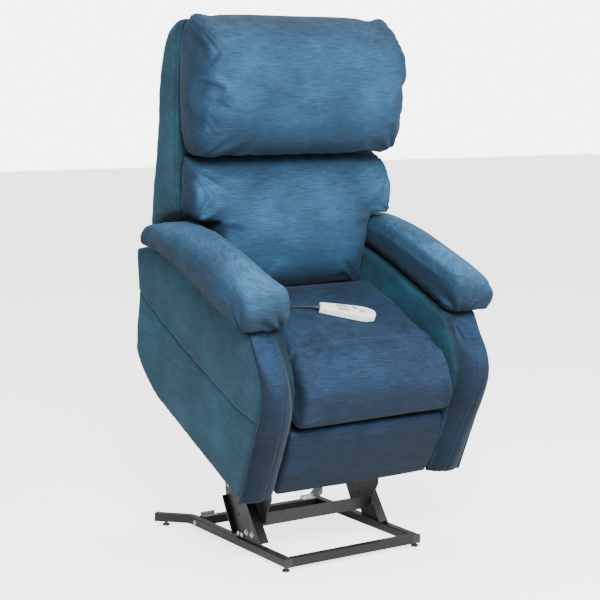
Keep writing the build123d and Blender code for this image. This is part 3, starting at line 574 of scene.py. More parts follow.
def bolt_tree(finish):
    """Hexagon bolt heads on washers: one on each face of the mesh, facing as it does."""
    tree, nodes, links, given, output = node_tree(
        "Bolt heads", {"Head radius": 0.006, "Head height": 0.004, "Washer radius": 0.008})
    points = nodes.new("GeometryNodeMeshToPoints")
    points.mode = "FACES"
    facing = nodes.new("GeometryNodeInputNormal")
    kept = nodes.new("GeometryNodeCaptureAttribute")
    kept.domain = "FACE"
    kept.capture_items.new("VECTOR", "Facing")
    links.new(given.outputs["Geometry"], kept.inputs["Geometry"])
    links.new(facing.outputs["Normal"], kept.inputs["Facing"])
    links.new(kept.outputs["Geometry"], points.inputs["Mesh"])
    washer = nodes.new("GeometryNodeMeshCylinder")
    washer.inputs["Vertices"].default_value = 24
    washer.inputs["Depth"].default_value = 0.0024
    links.new(given.outputs["Washer radius"], washer.inputs["Radius"])
    head = nodes.new("GeometryNodeMeshCone")
    head.inputs["Vertices"].default_value = 6
    links.new(given.outputs["Head radius"], head.inputs["Radius Bottom"])
    taper = nodes.new("ShaderNodeMath")
    taper.operation = "MULTIPLY"
    taper.inputs[1].default_value = 0.9
    links.new(given.outputs["Head radius"], taper.inputs[0])
    links.new(taper.outputs[0], head.inputs["Radius Top"])
    links.new(given.outputs["Head height"], head.inputs["Depth"])
    joined = nodes.new("GeometryNodeJoinGeometry")
    links.new(washer.outputs["Mesh"], joined.inputs["Geometry"])
    links.new(head.outputs["Mesh"], joined.inputs["Geometry"])
    lay_out(nodes, links, points, joined.outputs["Geometry"], kept.outputs["Facing"], output, finish)
    return tree


def laid_on(piece, points, push):
    """Row-frame points moved along push (row frame) onto the piece's surface."""
    bvh = BVHTree.FromPolygons([v.co for v in piece.data.vertices], [f.vertices for f in piece.data.polygons])
    push = Vector(push).normalized()
    out = []
    for p in points:
        hit = bvh.ray_cast(Vector(p) - push * 0.3, push, 0.6)
        if hit[0] is not None:
            out.append(hit[0])
    return out


def line_mesh(name, lines):
    """Lines of points as one mesh of edges."""
    mesh = bpy.data.meshes.new(name)
    points, edges = [], []
    for line in lines:
        start = len(points)
        points.extend(line)
        edges.extend((start + i, start + i + 1) for i in range(len(line) - 1))
    mesh.from_pydata([tuple(p) for p in points], edges, [])
    return mesh


# ------------------------------------------------------------------ settings

class ReclinerClothSettings(PropertyGroup):
    """Upholstery colours and padding. The four cloth colours are one cloth in painted light and shade: the seat colour
    is a shaded copy of the front colour, the arm pad colour a lit copy, and the side colour the cloth's tone as lit on
    the sides and back.
    """

    # Painted light and shade: front, seat, arm pad and side are lit and shaded copies of one cloth colour.
    front_colour: FloatVectorProperty(name="Front cloth", description="Pile colour on the back cushions",
                                      subtype="COLOR", default=(0.0112, 0.043, 0.088))
    seat_colour: FloatVectorProperty(name="Seat cloth", description="Pile colour on the seat, arm fronts and footrest",
                                     subtype="COLOR", default=(0.0056, 0.0195, 0.045))
    pad_colour: FloatVectorProperty(name="Arm pad cloth", description="Pile colour on the arm pads", subtype="COLOR",
                                    default=(0.0185, 0.062, 0.121))
    side_colour: FloatVectorProperty(name="Side cloth", description="Pile colour on the outer sides and the back",
                                     subtype="COLOR", default=(0.0096, 0.053, 0.086))
    sheen: FloatProperty(name="Sheen", description="Strength of the pile's sheen", default=0.08, min=0, max=1)
    voxel: FloatProperty(name="Grid", description="Size of the even grid that pads are worked on",
                         default=0.009, min=0.004, unit="LENGTH")
    pressure: FloatProperty(name="Pressure", description="Filling pressure of the simulated cushions", default=4.0)
    seam_depth: FloatProperty(name="Seam depth", description="Depth of sewn seams, in millimetres", default=4.0)
    stitch_pitch: FloatProperty(name="Stitch pitch", description="Distance between stitches",
                                default=0.0065, min=0.002, unit="LENGTH")
    thread_radius: FloatProperty(name="Thread radius", description="Radius of the sewing thread",
                                 default=0.0005, unit="LENGTH")


class ReclinerSteelSettings(PropertyGroup):
    """Steelwork finish and fixings."""

    coat_colour: FloatVectorProperty(name="Powder coat", description="Colour of the base's powder coat",
                                     subtype="COLOR", default=(0.0048, 0.0048, 0.0056))
    bolt_radius: FloatProperty(name="Bolt head", description="Radius of the bolt heads", default=0.006, unit="LENGTH")
    washer_radius: FloatProperty(name="Washer", description="Radius of the washers", default=0.0085, unit="LENGTH")


class ReclinerHandsetSettings(PropertyGroup):
    """Handset finish."""

    shell_colour: FloatVectorProperty(name="Shell", description="Colour of the handset's shell", subtype="COLOR",
                                      default=(0.86, 0.86, 0.85))
    button_colour: FloatVectorProperty(name="Buttons", description="Colour of the handset's buttons", subtype="COLOR",
                                       default=(0.36, 0.38, 0.4))
    cord_diameter: FloatProperty(name="Cord", description="Diameter of the handset's cord", default=0.0045,
                                 unit="LENGTH")


class ReclinerStageSettings(PropertyGroup):
    """Camera, floor and lights."""

    camera_place: FloatVectorProperty(name="Camera", description="Where the camera stands", subtype="TRANSLATION",
                                      default=(-2.526, -3.825, 1.338))
    camera_turn: FloatProperty(name="Turn", description="Camera's turn about the upright axis", subtype="ANGLE",
                               default=math.radians(-33.15))
    camera_drop: FloatProperty(name="Drop", description="How far the camera looks down", subtype="ANGLE",
                               default=math.radians(7.66))
    lens: FloatProperty(name="Lens", description="Focal length", default=94.8, unit="CAMERA")
    floor_colour: FloatVectorProperty(name="Floor", description="Colour of the floor", subtype="COLOR",
                                      default=(0.93, 0.93, 0.93))
    key_power: FloatProperty(name="Key light", description="Power of the main light", default=480.0)
    fill_power: FloatProperty(name="Fill light", description="Power of the fill light", default=90.0)
    floor_size: IntProperty(name="Floor size", description="Width of the floor in metres", default=40)


# ------------------------------------------------------------------ pieces

class RECLINER_OT_stage(Operator):
    """Adds the floor, the soft studio lights and the camera"""

    bl_idname = "recliner.stage"
    bl_label = "Stage"

    def execute(self, context):
        settings = context.scene.recliner_stage
        half = settings.floor_size / 2
        mesh = bpy.data.meshes.new("floor")
        corners = [(x * half, y * half, -FLOOR_DROP) for x, y in ((-1, -1), (1, -1), (1, 1), (-1, 1))]
        mesh.from_pydata(corners, [], [(0, 1, 2, 3)])
        floor = add_object("floor", mesh)
        found, nodes, links, shader = material("studio_floor")
        mottle = noise_texture(nodes, links, grain_coordinates(nodes, links, (1, 1, 1), 0), 3, 2)
        tone = np.array(settings.floor_colour)
        links.new(ramp(nodes, links, mottle, [(0.3, tone * 0.99), (0.7, tone)]), shader.inputs["Base Color"])
        shader.inputs["Roughness"].default_value = 0.7
        seen = nodes.new("ShaderNodeLightPath")
        shader.inputs["Emission Color"].default_value = (1, 1, 1, 1)
        glow = nodes.new("ShaderNodeMath")
        glow.operation = "MULTIPLY"
        glow.inputs[1].default_value = 2.4
        links.new(seen.outputs["Is Camera Ray"], glow.inputs[0])
        links.new(glow.outputs["Value"], shader.inputs["Emission Strength"])
        mesh.materials.append(found)
        world = bpy.data.worlds.new("studio")
        context.scene.world = world
        world.use_nodes = True
        sky = world.node_tree
        dome = sky.nodes["Background"]
        dome.inputs["Color"].default_value = (1, 1, 1, 1)
        dome.inputs["Strength"].default_value = 0.75
        backdrop = sky.nodes.new("ShaderNodeBackground")
        backdrop.inputs["Color"].default_value = (1, 1, 1, 1)
        backdrop.inputs["Strength"].default_value = 6.0
        seen = sky.nodes.new("ShaderNodeLightPath")
        choose = sky.nodes.new("ShaderNodeMixShader")
        sky.links.new(seen.outputs["Is Camera Ray"], choose.inputs["Fac"])
        sky.links.new(dome.outputs["Background"], choose.inputs[1])
        sky.links.new(backdrop.outputs["Background"], choose.inputs[2])
        sky.links.new(choose.outputs["Shader"], sky.nodes["World Output"].inputs["Surface"])
        for name, place, aim, size, power in (
                ("key", (-1.7, -3.7, 3.3), (0, 0, 1.15), 1.6, settings.key_power),
                ("fill", (3.2, -2.4, 1.8), (0, 0, 0.8), 2.4, settings.fill_power),
                ("top", (0.2, 0.6, 3.4), (0, 0, 0.9), 1.6, settings.fill_power * 0.6)):
            lamp = bpy.data.lights.new(name, "AREA")
            lamp.size, lamp.energy = size, power
            light = bpy.data.objects.new(name, lamp)
            light.location = place
            light.rotation_euler = (Vector(aim) - Vector(place)).to_track_quat("-Z", "Y").to_euler()
            context.scene.collection.objects.link(light)
        lens = bpy.data.cameras.new("camera")
        lens.lens, lens.sensor_width = settings.lens, SENSOR_WIDTH
        camera = bpy.data.objects.new("camera", lens)
        camera.location = settings.camera_place
        camera.rotation_euler = Euler((math.pi / 2 - settings.camera_drop, 0, settings.camera_turn))
        context.scene.collection.objects.link(camera)
        context.scene.camera = camera
        return {"FINISHED"}


CORD_ROUTE = [
    (-0.0615, -0.12329, 0.72036),
    (-0.0900, -0.10949, 0.72158),
    (-0.1220, -0.10242, 0.72166),
    (-0.1560, -0.10059, 0.72248),
    (-0.1880, -0.09602, 0.72451),
    (-0.2260, -0.08767, 0.72911),
    (-0.2637, -0.08699, 0.73127),
]


class RECLINER_OT_handset_cord(Operator):
    """Lays the handset's thin cord over the seat to the grommet in the arm"""

    bl_idname = "recliner.handset_cord"
    bl_label = "Handset Cord"

    def execute(self, context):
        radius = context.scene.recliner_handset.cord_diameter / 2
        curve = bpy.data.curves.new("handset_lead", "CURVE")
        curve.dimensions = "3D"
        curve.bevel_depth = radius
        curve.bevel_resolution = 5
        curve.resolution_u = 10
        curve.use_fill_caps = True
        line = curve.splines.new("NURBS")
        line.points.add(len(CORD_ROUTE) - 1)
        for point, place in zip(line.points, CORD_ROUTE):
            point.co = (*place, 1)
        line.order_u = 3
        line.use_endpoint_u = True
        lead = bpy.data.objects.new("handset_lead", curve)
        context.scene.collection.objects.link(lead)
        curve.materials.append(moulded("cord_jacket", (0.016, 0.014, 0.014), 0.55))
        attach(lead, "chair")
        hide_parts("handset_cord")
        return {"FINISHED"}


class RECLINER_OT_seat(Operator):
    """Builds the seat cushion with its cross seam and the rolled front edge"""

    bl_idname = "recliner.seat"
    bl_label = "Seat Cushion"

    def execute(self, context):
        cloth = context.scene.recliner_cloth
        low = [(16, 220), (-8, 238), (-17, 270), (-16, 300), (-2, 332), (40, 368), (92, 389), (150, 399), (345, 399),
               (500, 380), (503, 244), (60, 244)]
        seat = remesh(extruded("seat_pad", low, -260, 260), cloth.voxel)
        relax(seat, 9)
        puff(seat, 12, cloth.pressure, lambda p: (p[:, 2] < 262) | (p[:, 1] > 480))
        finer(seat)

        def settle(p):
            x, y, z = p.T
            limit = 404.1 - 13 * np.clip(np.abs(x) / 264, 0, 1) ** 9
            soft = limit - 3.0 * np.log1p(np.exp(np.clip((limit - z) / 3.0, -30, 30)))
            z = np.where(y > 60, np.minimum(soft, z), z)
            return np.stack([np.clip(x, -264.5, 264.5), y, z], -1)

        seam = catmull([(-262, 118, 398), (-180, 128, 400), (-80, 140, 402), (0, 145, 403), (80, 141, 402),
                        (180, 129, 400), (262, 119, 398)], 60)

        def sewn(p, n):
            away = distance_to_line(p[:, :2], seam[:, :2])
            top = (p[:, 2] > 340) * 1.0
            groove = -cloth.seam_depth * 1.9 * np.exp(-(away / 8) ** 2) * top
            pucker = 1.4 * np.sin(p[:, 0] / 6.5 + 2 * cloth_noise(p, 60, 3)) * np.exp(-(away / 26) ** 2) * top
            bulge = 4.0 * np.exp(-((away - 55) / 34) ** 2) * (p[:, 1] < 130) * top
            folds = 1.5 * cloth_noise(p, (120, 60, 60), 5) * (p[:, 1] < 110)
            ends = sum(gathers(p, (s * 262, 118, 396), (0, 1), 9, 95, 2.4, 1 + s) for s in (-1, 1))
            return groove + pucker + bulge + folds + ends

        press(seat, sewn)
        relax(seat, 1)
        reshape(seat, settle)
        upholster(seat, "chair", ["seat_cushion"], "seat")
        return {"FINISHED"}


def clear_of_arms(p):
    """Draws a back piece in where it would enter the arms or their pads as the back reclines."""
    r = np.linalg.norm(p[:, 1:] - RECLINE_PIVOT, axis=1)
    x = np.where(r < ARM_SWEEP - 2, np.clip(p[:, 0], -NECK_HALF, NECK_HALF), p[:, 0])
    return np.column_stack([x, p[:, 1:]])


class RECLINER_OT_lumbar(Operator):
    """Builds the lower back cushion, narrow between the arms and full above them"""

    bl_idname = "recliner.lumbar"
    bl_label = "Lower Back Cushion"

    def execute(self, context):
        cloth = context.scene.recliner_cloth
        front = catmull([(520, 338), (522, 400), (536, 470), (556, 536), (578, 590), (604, 640), (640, 680),
                         (676, 694)], 40)
        outline = [tuple(p) for p in front] + [(738, 694), (700, 600), (684, 520), (640, 424), (600, 338)]
        pad = remesh(back_solid("lower_back_pad", outline, 341, 259), cloth.voxel)
        relax(pad, 9)

        def crown(p):
            x, y, z = p.T
            facing = smoothstep(0, 50, (556 + (z - 338) * 0.5) - y + 40)
            y = y - 20 * (1 - (x / 345) ** 2) * np.sin(np.clip((z - 330) / 366, 0, 1) * math.pi) * facing
            return np.stack([x, y, z], -1)

        reshape(pad, crown)
        puff(pad, 17, cloth.pressure, lambda p: p[:, 1] > 580 + (p[:, 2] - 338) * 0.42 - 10)
        finer(pad)

        def creases(p, n):
            x, y, z = p.T
            ends = sum(gathers(p, (s * 338, 640, 690), (0, 2), 11, 170, 2.8, 2 + s) for s in (-1, 1))
            tucks = sum(gathers(p, (s * 345, 600, 560), (0, 2), 12, 130, 2.6, 4 + s) for s in (-1, 1))
            across = 1.0 * np.sin(z / 9 + 1.5 * cloth_noise(p, 70, 8)) * np.exp(-((np.abs(x) - 325) / 22) ** 2)
            soft = 1.8 * cloth_noise(p, (150, 90, 90), 11)
            return ends + tucks + across + soft

        press(pad, creases)
        relax(pad, 1)
        reshape(pad, clear_of_arms)
        upholster(pad, "backrest", ["lumbar_cushion"])
        return {"FINISHED"}


class RECLINER_OT_headrest(Operator):
    """Builds the headrest cushion that overhangs the lower one"""

    bl_idname = "recliner.headrest"
    bl_label = "Headrest Cushion"

    def execute(self, context):
        cloth = context.scene.recliner_cloth
        front = catmull([(744, 706), (684, 708), (642, 732), (624, 790), (632, 880), (661, 985), (710, 1052),
                         (790, 1089), (864, 1092)], 56)
        outline = [tuple(p) for p in front] + [(868, 1000), (746, 706)]
        pad = remesh(extruded("headrest_pad", outline, -341, 341), cloth.voxel)
        relax(pad, 20)

        def crown(p):
            x, y, z = p.T
            up = np.clip((z - 700) / 380, 0, 1)
            rear = 744 + (z - 706) * 0.375
            ahead = smoothstep(6, 60, rear - y)
            y = y - 16 * (1 - (x / 350) ** 4) * np.sin(up * math.pi) ** 0.8 * ahead
            x = x * (1 + 0.03 * np.sin(up * math.pi))
            out = np.abs(x) / 350
            z = z - 7 * out ** 3 * smoothstep(0.6, 1, up) + 5 * out ** 4 * (1 - smoothstep(0, 0.3, up))
            return np.stack([x, y, z], -1)

        reshape(pad, crown)
        puff(pad, 20, cloth.pressure, lambda p: p[:, 1] > 744 + (p[:, 2] - 706) * 0.375 - 12)
        finer(pad)

        def creases(p, n):
            x, y, z = p.T
            low = sum(gathers(p, (s * 342, 660, 716), (0, 2), 13, 190, 3.0, 7 + s) for s in (-1, 1))
            high = sum(gathers(p, (s * 342, 770, 1070), (0, 2), 9, 130, 2.6, 9 + s) for s in (-1, 1))
            edge = 0.5 * np.sin(z / 10 + 1.8 * cloth_noise(p, 80, 18)) * np.exp(-((np.abs(x) - 330) / 22) ** 2)
            under = 1.4 * np.sin(x / 11 + 2 * cloth_noise(p, 90, 17)) * np.exp(-((z - 712) / 24) ** 2)
            soft = 2.0 * cloth_noise(p, (190, 120, 110), 21)
            return low + high + edge + under + soft

        press(pad, creases)
        relax(pad, 1)
        upholster(pad, "backrest", ["headrest_cushion"])
        return {"FINISHED"}


class RECLINER_OT_back_shell(Operator):
    """Builds the padded shell behind the cushions, with its side gussets"""

    bl_idname = "recliner.back_shell"
    bl_label = "Back Shell"

    def execute(self, context):
        arc = [tuple(RECLINE_PIVOT + 223 * np.array([math.cos(math.radians(a)), math.sin(math.radians(a))]))
               for a in (66, 54, 42, 30, 18, 8, 3)]
        outline = [(788, 312), (826, 450), (884, 658), (941, 866), (950, 935), (942, 986), (915, 1028), (872, 1058),
                   (852, 985), (746, 700), (700, 600)] + arc
        shell = remesh(back_solid("back_shell_pad", outline, 343, 258), 0.008)
        relax(shell, 7)
        finer(shell)

        def sewn(p, n):
            x, y, z = p.T
            side = smoothstep(0.5, 0.9, np.abs(n[:, 0]))
            gusset = np.array([(700, 590), (752, 700), (858, 985), (872, 1062)], float)
            seam = -3.0 * np.exp(-(distance_to_line(p[:, 1:], gusset + (14, -2)) / 5) ** 2) * side
            rear = np.exp(-((np.abs(x) - 322) / 6) ** 2) * (n[:, 1] > 0.5) * -3.0
            soft = 1.8 * cloth_noise(p, (110, 90, 90), 31) * (0.4 + side)
            return seam + rear + soft

        press(shell, sewn)
        reshape(shell, clear_of_arms)
        upholster(shell, "backrest", ["back_shell"], "side")
        return {"FINISHED"}


class RECLINER_OT_rear_panel(Operator):
    """Builds the cloth panel that closes the seat box behind"""

    bl_idname = "recliner.rear_panel"
    bl_label = "Rear Panel"

    def execute(self, context):
        outline = [(672, 78), (692, 73), (749, 242), (768, 298), (752, 299), (731, 242)]
        panel = remesh(extruded("rear_cloth_panel", outline, -263.5, 263.5), 0.006)
        relax(panel, 2)
        finer(panel)
        press(panel, lambda p, n: -2.5 * np.exp(-((np.abs(p[:, 0]) - 250) / 4) ** 2) + 0.8 * cloth_noise(p, 70, 41) - 1)
        upholster(panel, "chair", ["rear_panel"], "side")
        return {"FINISHED"}


FRONT_SEAM = [(2, 0), (3, 150), (7, 262), (26, 340), (60, 385), (110, 425), (141, 456)]
TOP_SEAM = [(141, 456), (273, 453), (403, 451), (540, 444), (640, 428), (721, 403), (795, 362)]
POCKET_SEAM = [(4, 256), (80, 242), (152, 235), (330, 230), (486, 230), (654, 237), (754, 247)]


class RECLINER_OT_arm_sides(Operator):
    """Builds both arm bodies, with the curved seam across the outer side"""

    bl_idname = "recliner.arm_sides"
    bl_label = "Arm Sides"

    def execute(self, context):
        cloth = context.scene.recliner_cloth
        outline = [(6, 2), (528, 2), (566, 8), (604, 21), (664, 50), (693, 71), (751, 246), (795, 361)]
        outline += [tuple(p) for p in catmull(TOP_SEAM[::-1], 24)[1:]]
        outline += [tuple(p) for p in catmull([(y + 4, z) for y, z in FRONT_SEAM[::-1]], 24)[1:-1]]
        pocket = catmull(POCKET_SEAM, 60)
        for name, side in SIDES.items():
            body = remesh(extruded(f"arm_body_{name}", outline, side * 269, side * 380), 0.008)
            relax(body, 4)
            finer(body)

            def sewn(p, n, side=side):
                outer = smoothstep(0.3, 0.8, n[:, 0] * side)
                flat = p[:, 1:]
                away = distance_to_line(flat, pocket)
                seam_height = np.interp(p[:, 1], pocket[:, 0], pocket[:, 1])
                above = smoothstep(-3, 5, p[:, 2] - seam_height)
                lap = (4.2 * above - 2.4 * np.exp(-((away - 1) / 3.5) ** 2)) * outer
                swell = 4.0 * outer * (1 - np.exp(-(away / 60) ** 2)) * smoothstep(0, 60, p[:, 2])
                front = distance_to_line(flat, np.array(FRONT_SEAM, float) + (6, 0))
                edge = -3.0 * np.exp(-(front / 7) ** 2) * outer
                droop = 1.4 * cloth_noise(p, (80, 130, 70), 50 + side) * outer
                ripple = 1.0 * np.sin(p[:, 1] / 17 + 2 * cloth_noise(p, 110, 52)) * np.exp(-(away / 30) ** 2) * outer
                return lap + swell + edge + droop + ripple - 1.5 * outer

            press(body, sewn)
            upholster(body, "chair", ["arm_cores", "arm_lower_panels", "arm_upper_panels"], "side")
        return {"FINISHED"}


class RECLINER_OT_arm_fronts(Operator):
    """Builds the crowned arm fronts, each of an outer and an inner band"""

    bl_idname = "recliner.arm_fronts"
    bl_label = "Arm Fronts"

    def execute(self, context):
        cloth = context.scene.recliner_cloth
        seam = catmull([(5, -4), (4, 95), (5, 190), (10, 278), (29, 340), (62, 385), (112, 425), (146, 460)], FRONT_RINGS)
        crest = catmull([(-12, -6), (-19, 95), (-22, 189), (-26, 279), (-11, 346), (23, 388), (80, 421), (132, 450)],
                        FRONT_RINGS)
        inner = catmull([(24, -4), (26, 80), (24, 190), (26, 268), (56, 334), (92, 380), (124, 418), (152, 450)],
                        FRONT_RINGS)
        centre = catmull([(313,), (316,), (320,), (327,), (335,), (338,), (341,), (345,)], FRONT_RINGS)[:, 0]
        turn = np.linspace(0, math.pi, 46)
        for name, side in SIDES.items():
            rings = []
            for k in range(FRONT_RINGS):
                end = min(k, FRONT_RINGS - 1 - k) / 5
                fullness = math.sqrt(max(0.0, 1 - (1 - min(end, 1)) ** 2)) * 0.9 + 0.1
                x = FRONT_MIDDLE + FRONT_WIDTH / 2 * np.cos(turn)
                across = (x - FRONT_INNER) / FRONT_WIDTH
                base = inner[k] + (seam[k] - inner[k]) * across[:, None]
                lean = (x - centre[k]) / 57
                bulge = np.clip(1 - lean ** 2, 0, 1) ** 0.62 * np.sin(turn) ** 0.35
                middle = inner[k] + (seam[k] - inner[k]) * ((centre[k] - FRONT_INNER) / FRONT_WIDTH)
                ring = base + (crest[k] - middle) * (bulge * fullness)[:, None]
                band = -cloth.seam_depth * 0.8 * np.exp(-((x - centre[k]) / 3.2) ** 2)
                band = band - 1.6 * np.exp(-((x - centre[k] + 14) / 3.0) ** 2)
                way = (crest[k] - middle) / np.linalg.norm(crest[k] - middle)
                ring = ring + band[:, None] * way
                back = np.linspace(1, 0, 14)[1:-1]
                behind = inner[k] + (seam[k] - inner[k]) * (1 - back)[:, None] + np.array([22, 6])
                loop = np.vstack([np.column_stack([side * x, ring]),
                                  np.column_stack([side * (FRONT_INNER + FRONT_WIDTH * (1 - back)), behind])])
                rings.append(to_row(loop))
            front = solid_from_rings(f"arm_front_{name}", rings)
            finer(front)
            press(front, lambda p, n, side=side: 0.9 * cloth_noise(p, (40, 60, 55), 60 + side)
                  + gathers(p, (side * 300, 118, 452), (0, 2), 8, 90, 2.0, 3))
            upholster(front, "chair", ["arm_fronts"], "seat")
        return {"FINISHED"}


class RECLINER_OT_arm_pads(Operator):
    """Builds the thick arm pads with their rounded, pleated fronts"""

    bl_idname = "recliner.arm_pads"
    bl_label = "Arm Pads"

    def execute(self, context):
        cloth = context.scene.recliner_cloth
        outline = [(150, 466), (122, 486), (108, 526), (118, 566), (156, 589), (243, 586), (337, 581), (452, 572),
                   (538, 558), (648, 525), (708, 496), (734, 474), (742, 442), (730, 410), (640, 437), (540, 453),
                   (403, 461), (273, 464)]
        pad = remesh(extruded("arm_pad", outline, 276, 424), cloth.voxel * 0.8)
        relax(pad, 16)

        def drape(p):
            x, y, z = p.T
            out = np.clip((x - 276) / 148, 0, 1)
            z = z - 34 * out ** 1.6 * np.clip((z - 450) / 130, 0, 1) * (1 - 0.4 * smoothstep(550, 730, y))
            ahead = np.clip((185 - y) / 85, 0, 1)
            x = 350 + (x - 350) * (1 - 0.16 * ahead ** 2)
            z = z - 10 * ahead ** 2
            return np.stack([x, y, z], -1)

        reshape(pad, drape)
        underside = ([100, 273, 540, 640, 740], [476, 470, 458, 442, 415])
        puff(pad, 12, cloth.pressure, lambda p: p[:, 2] < np.interp(p[:, 1], *underside))
        finer(pad)
        shape = coords(pad.data)
        mirrored = add_object("arm_pad_mirror", pad.data.copy())
        set_coords(mirrored.data, shape * (-1, 1, 1))
        mirrored.data.flip_normals()
        for (name, side), piece in zip(SIDES.items(), (pad, mirrored)):
            piece.name = f"arm_cushion_{name}"

            def creases(p, n, side=side):
                x, y, z = p.T
                low = gathers(p, (side * 296, 128, 470), (0, 2), 12, 120, 4.4, 11)
                outer = gathers(p, (side * 400, 132, 470), (1, 2), 9, 110, 3.2, 5)
                rear = gathers(p, (side * 350, 728, 430), (0, 2), 9, 90, 3.0, 6)
                near_hem = np.exp(-((z - 470 + 0.04 * (y - 150)) / 22) ** 2)
                hem = 1.6 * np.sin(y / 8.5 + 2 * cloth_noise(p, 90, 71 + side)) * near_hem
                return low + outer + rear + hem + 2.0 * cloth_noise(p, (70, 150, 60), 73 + side)

            press(piece, creases)
            relax(piece, 1)
            reshape(piece, lambda p, side=side: np.column_stack(
                [side * np.clip(side * p[:, 0], 269.5, 434), p[:, 1:]]))
            upholster(piece, "chair", [f"arm_pad_{name}"], "pad")
        return {"FINISHED"}


class RECLINER_OT_footrest(Operator):
    """Builds the cloth-covered footrest panel"""

    bl_idname = "recliner.footrest"
    bl_label = "Footrest"

    def execute(self, context):
        outline = [(37, 205), (37, 4), (13, 4), (3, 60), (1, 110), (5, 170), (17, 205)]
        panel = remesh(extruded("footrest_cover", outline, -262.5, 262.5), 0.007)
        relax(panel, 4)
        finer(panel)
        press(panel, lambda p, n: 1.3 * cloth_noise(p, (120, 50, 60), 81) * (n[:, 1] < -0.3)
              + 2.0 * (1 - (p[:, 0] / 264) ** 4) * (n[:, 1] < -0.3))
        upholster(panel, "footrest", ["footrest_pad"], "seat")
        return {"FINISHED"}


class RECLINER_OT_stitches(Operator):
    """Sews rows of stitches beside the seams, one group for each body"""

    bl_idname = "recliner.stitches"
    bl_label = "Stitches"

    def execute(self, context):
        cloth = context.scene.recliner_cloth
        thread = moulded("sewing_thread", (0.035, 0.09, 0.14), 0.8)
        sizes = {"Pitch": cloth.stitch_pitch, "Stitch length": cloth.stitch_pitch * 0.72,
                 "Thread radius": cloth.thread_radius}
        tree = stitch_tree(thread)
        scene = bpy.data.objects
        lines = []
        for name, side in SIDES.items():
            pocket = catmull([(y, z + 9) for y, z in POCKET_SEAM], 120)[4:-4]
            lines.append(laid_on(scene[f"arm_body_{name}"],
                                 to_row(np.column_stack([np.full(len(pocket), side * 384.0), pocket])), (-side, 0, 0)))
        rear = np.column_stack([np.linspace(-240, 240, 80), np.full(80, 740.0), np.full(80, 236.0)])
        lines.append(laid_on(scene["rear_cloth_panel"], to_row(rear), (0, -1, 0)))
        seat = catmull([(-250, 112, 410), (-180, 120, 410), (-80, 132, 410), (0, 137, 410), (80, 133, 410),
                        (180, 121, 410), (250, 112, 410)], 100)
        lines.append(laid_on(scene["seat_pad"], to_row(seat), (0, math.sin(TILT), -math.cos(TILT))))
        sewn = run_tree("seat_and_arm_stitches", line_mesh("seams", lines), tree, sizes)
        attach(sewn, "chair")
        lines = []
        for side in SIDES.values():
            edge = catmull([(842, 500), (884, 658), (941, 866), (944, 960)], 90)
            rim = np.array([(side * 314.0, y, z) for y, z in edge])
            lines.append(laid_on(scene["back_shell_pad"], to_row(rim), (0, -1, 0)))
        sewn = run_tree("back_stitches", line_mesh("back_seams", lines), tree, sizes)
        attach(sewn, "backrest")
        return {"FINISHED"}


class RECLINER_OT_steelwork(Operator):
    """Finishes the base, linkage, actuators, springs and timber, and adds bolt heads"""

    bl_idname = "recliner.steelwork"
    bl_label = "Steelwork"

    def execute(self, context):
        settings = context.scene.recliner_steel
        paint(powder_coat(), "base_rail_left", "base_rail_right", "base_front_bar", "base_rear_bar", "lift_tower_left",
              "lift_tower_right", "lift_links", "lift_torque_tube", "lift_cross_angle", "lift_crank", "cross_tubes",
              "frame_hangers", "lift_side_plates", "actuator_clevises", "recline_brackets", "footrest_arms",
              "footrest_links", "footrest_brackets", "recline_crank", "lift_actuator_tube", "recline_actuator_tube")
        zinc = plated("zinc_plate", (0.66, 0.66, 0.64), 0.3)
        paint(zinc, "base_fittings", "knee_pins", "pivot_pins", "footrest_arm_pins", "footrest_link_pins",
              "lift_actuator_rod", "recline_actuator_rod", "seat_springs")
        paint(plated("dark_feet", (0.12, 0.11, 0.1), 0.34), "levelling_feet")
        paint(moulded("black_plastic", (0.02, 0.02, 0.022), 0.5), "rail_end_caps", "arm_glides", "control_box",
              "lift_actuator_motor", "recline_actuator_motor", "cord_grommet", "handset_relief")
        paint(sawn_timber(), "seat_rails", "back_posts", "back_rails", "footrest_board")
        tree = bolt_tree(zinc)
        sizes = {"Head radius": settings.bolt_radius, "Head height": 0.005, "Washer radius": settings.washer_radius}
        mesh = bpy.data.meshes.new("bolt_places")
        points, faces = [], []
        for side in SIDES.values():
            for y, z in ((-0.052, 0.062), (-0.022, 0.062)):
                start = len(points)
                ring = [(side * 0.2262, y + a, z + b) for a, b in ((-0.001, -0.001), (0.001, -0.001), (0.001, 0.001),
                                                                 (-0.001, 0.001))]
                points += ring if side > 0 else ring[::-1]
                faces.append(tuple(range(start, start + 4)))
        mesh.from_pydata(points, [], faces)
        bolts = run_tree("tower_bolts", mesh, tree, sizes)
        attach(bolts, "base")
        return {"FINISHED"}


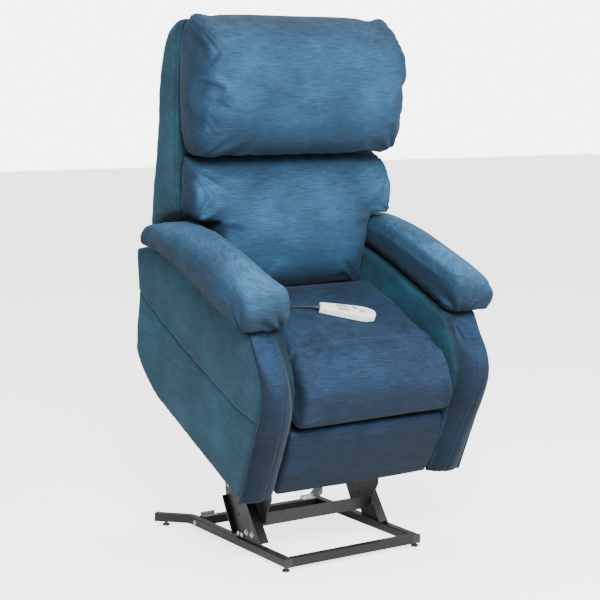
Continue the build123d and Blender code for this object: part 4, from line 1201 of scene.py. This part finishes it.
class RECLINER_OT_handset(Operator):
    """Finishes the handset's shell and buttons"""

    bl_idname = "recliner.handset"
    bl_label = "Handset"

    def execute(self, context):
        settings = context.scene.recliner_handset
        paint(moulded("handset_shell", settings.shell_colour, 0.28, 0.06, 0.3), "handset_base", "handset_cover")
        paint(moulded("button_caps", settings.button_colour, 0.5, 0.1), "button_raise", "button_lower", "button_open",
              "button_close")
        return {"FINISHED"}


STEPS = ("stage", "handset_cord", "steelwork", "handset", "seat", "lumbar", "headrest", "back_shell", "rear_panel",
         "arm_sides", "arm_fronts", "arm_pads", "footrest", "stitches")


class RECLINER_PT_panel(Panel):
    """The recliner's settings and pieces"""

    bl_idname = "RECLINER_PT_panel"
    bl_label = "Lift Recliner"
    bl_space_type = "VIEW_3D"
    bl_region_type = "UI"
    bl_category = "Recliner"

    def draw(self, context):
        layout = self.layout
        for name in SETTINGS:
            group = getattr(context.scene, name)
            box = layout.box()
            for label in type(group).__annotations__:
                box.prop(group, label)
        for step in STEPS:
            layout.operator(f"recliner.{step}")


CLASSES = (ReclinerClothSettings, ReclinerSteelSettings, ReclinerHandsetSettings, ReclinerStageSettings,
           RECLINER_OT_stage, RECLINER_OT_handset_cord, RECLINER_OT_seat, RECLINER_OT_lumbar, RECLINER_OT_headrest,
           RECLINER_OT_back_shell, RECLINER_OT_rear_panel, RECLINER_OT_arm_sides, RECLINER_OT_arm_fronts,
           RECLINER_OT_arm_pads, RECLINER_OT_footrest, RECLINER_OT_stitches, RECLINER_OT_steelwork,
           RECLINER_OT_handset, RECLINER_PT_panel)


SETTINGS = {"recliner_cloth": ReclinerClothSettings, "recliner_steel": ReclinerSteelSettings,
            "recliner_handset": ReclinerHandsetSettings, "recliner_stage": ReclinerStageSettings}


def register():
    for one in CLASSES:
        bpy.utils.register_class(one)
    for name, settings in SETTINGS.items():
        setattr(bpy.types.Scene, name, PointerProperty(type=settings))


def unregister():
    for name in SETTINGS:
        delattr(bpy.types.Scene, name)
    for one in reversed(CLASSES):
        bpy.utils.unregister_class(one)


def main():
    register()
    for step in STEPS:
        getattr(bpy.ops.recliner, step)()


if __name__ == "__main__":
    main()
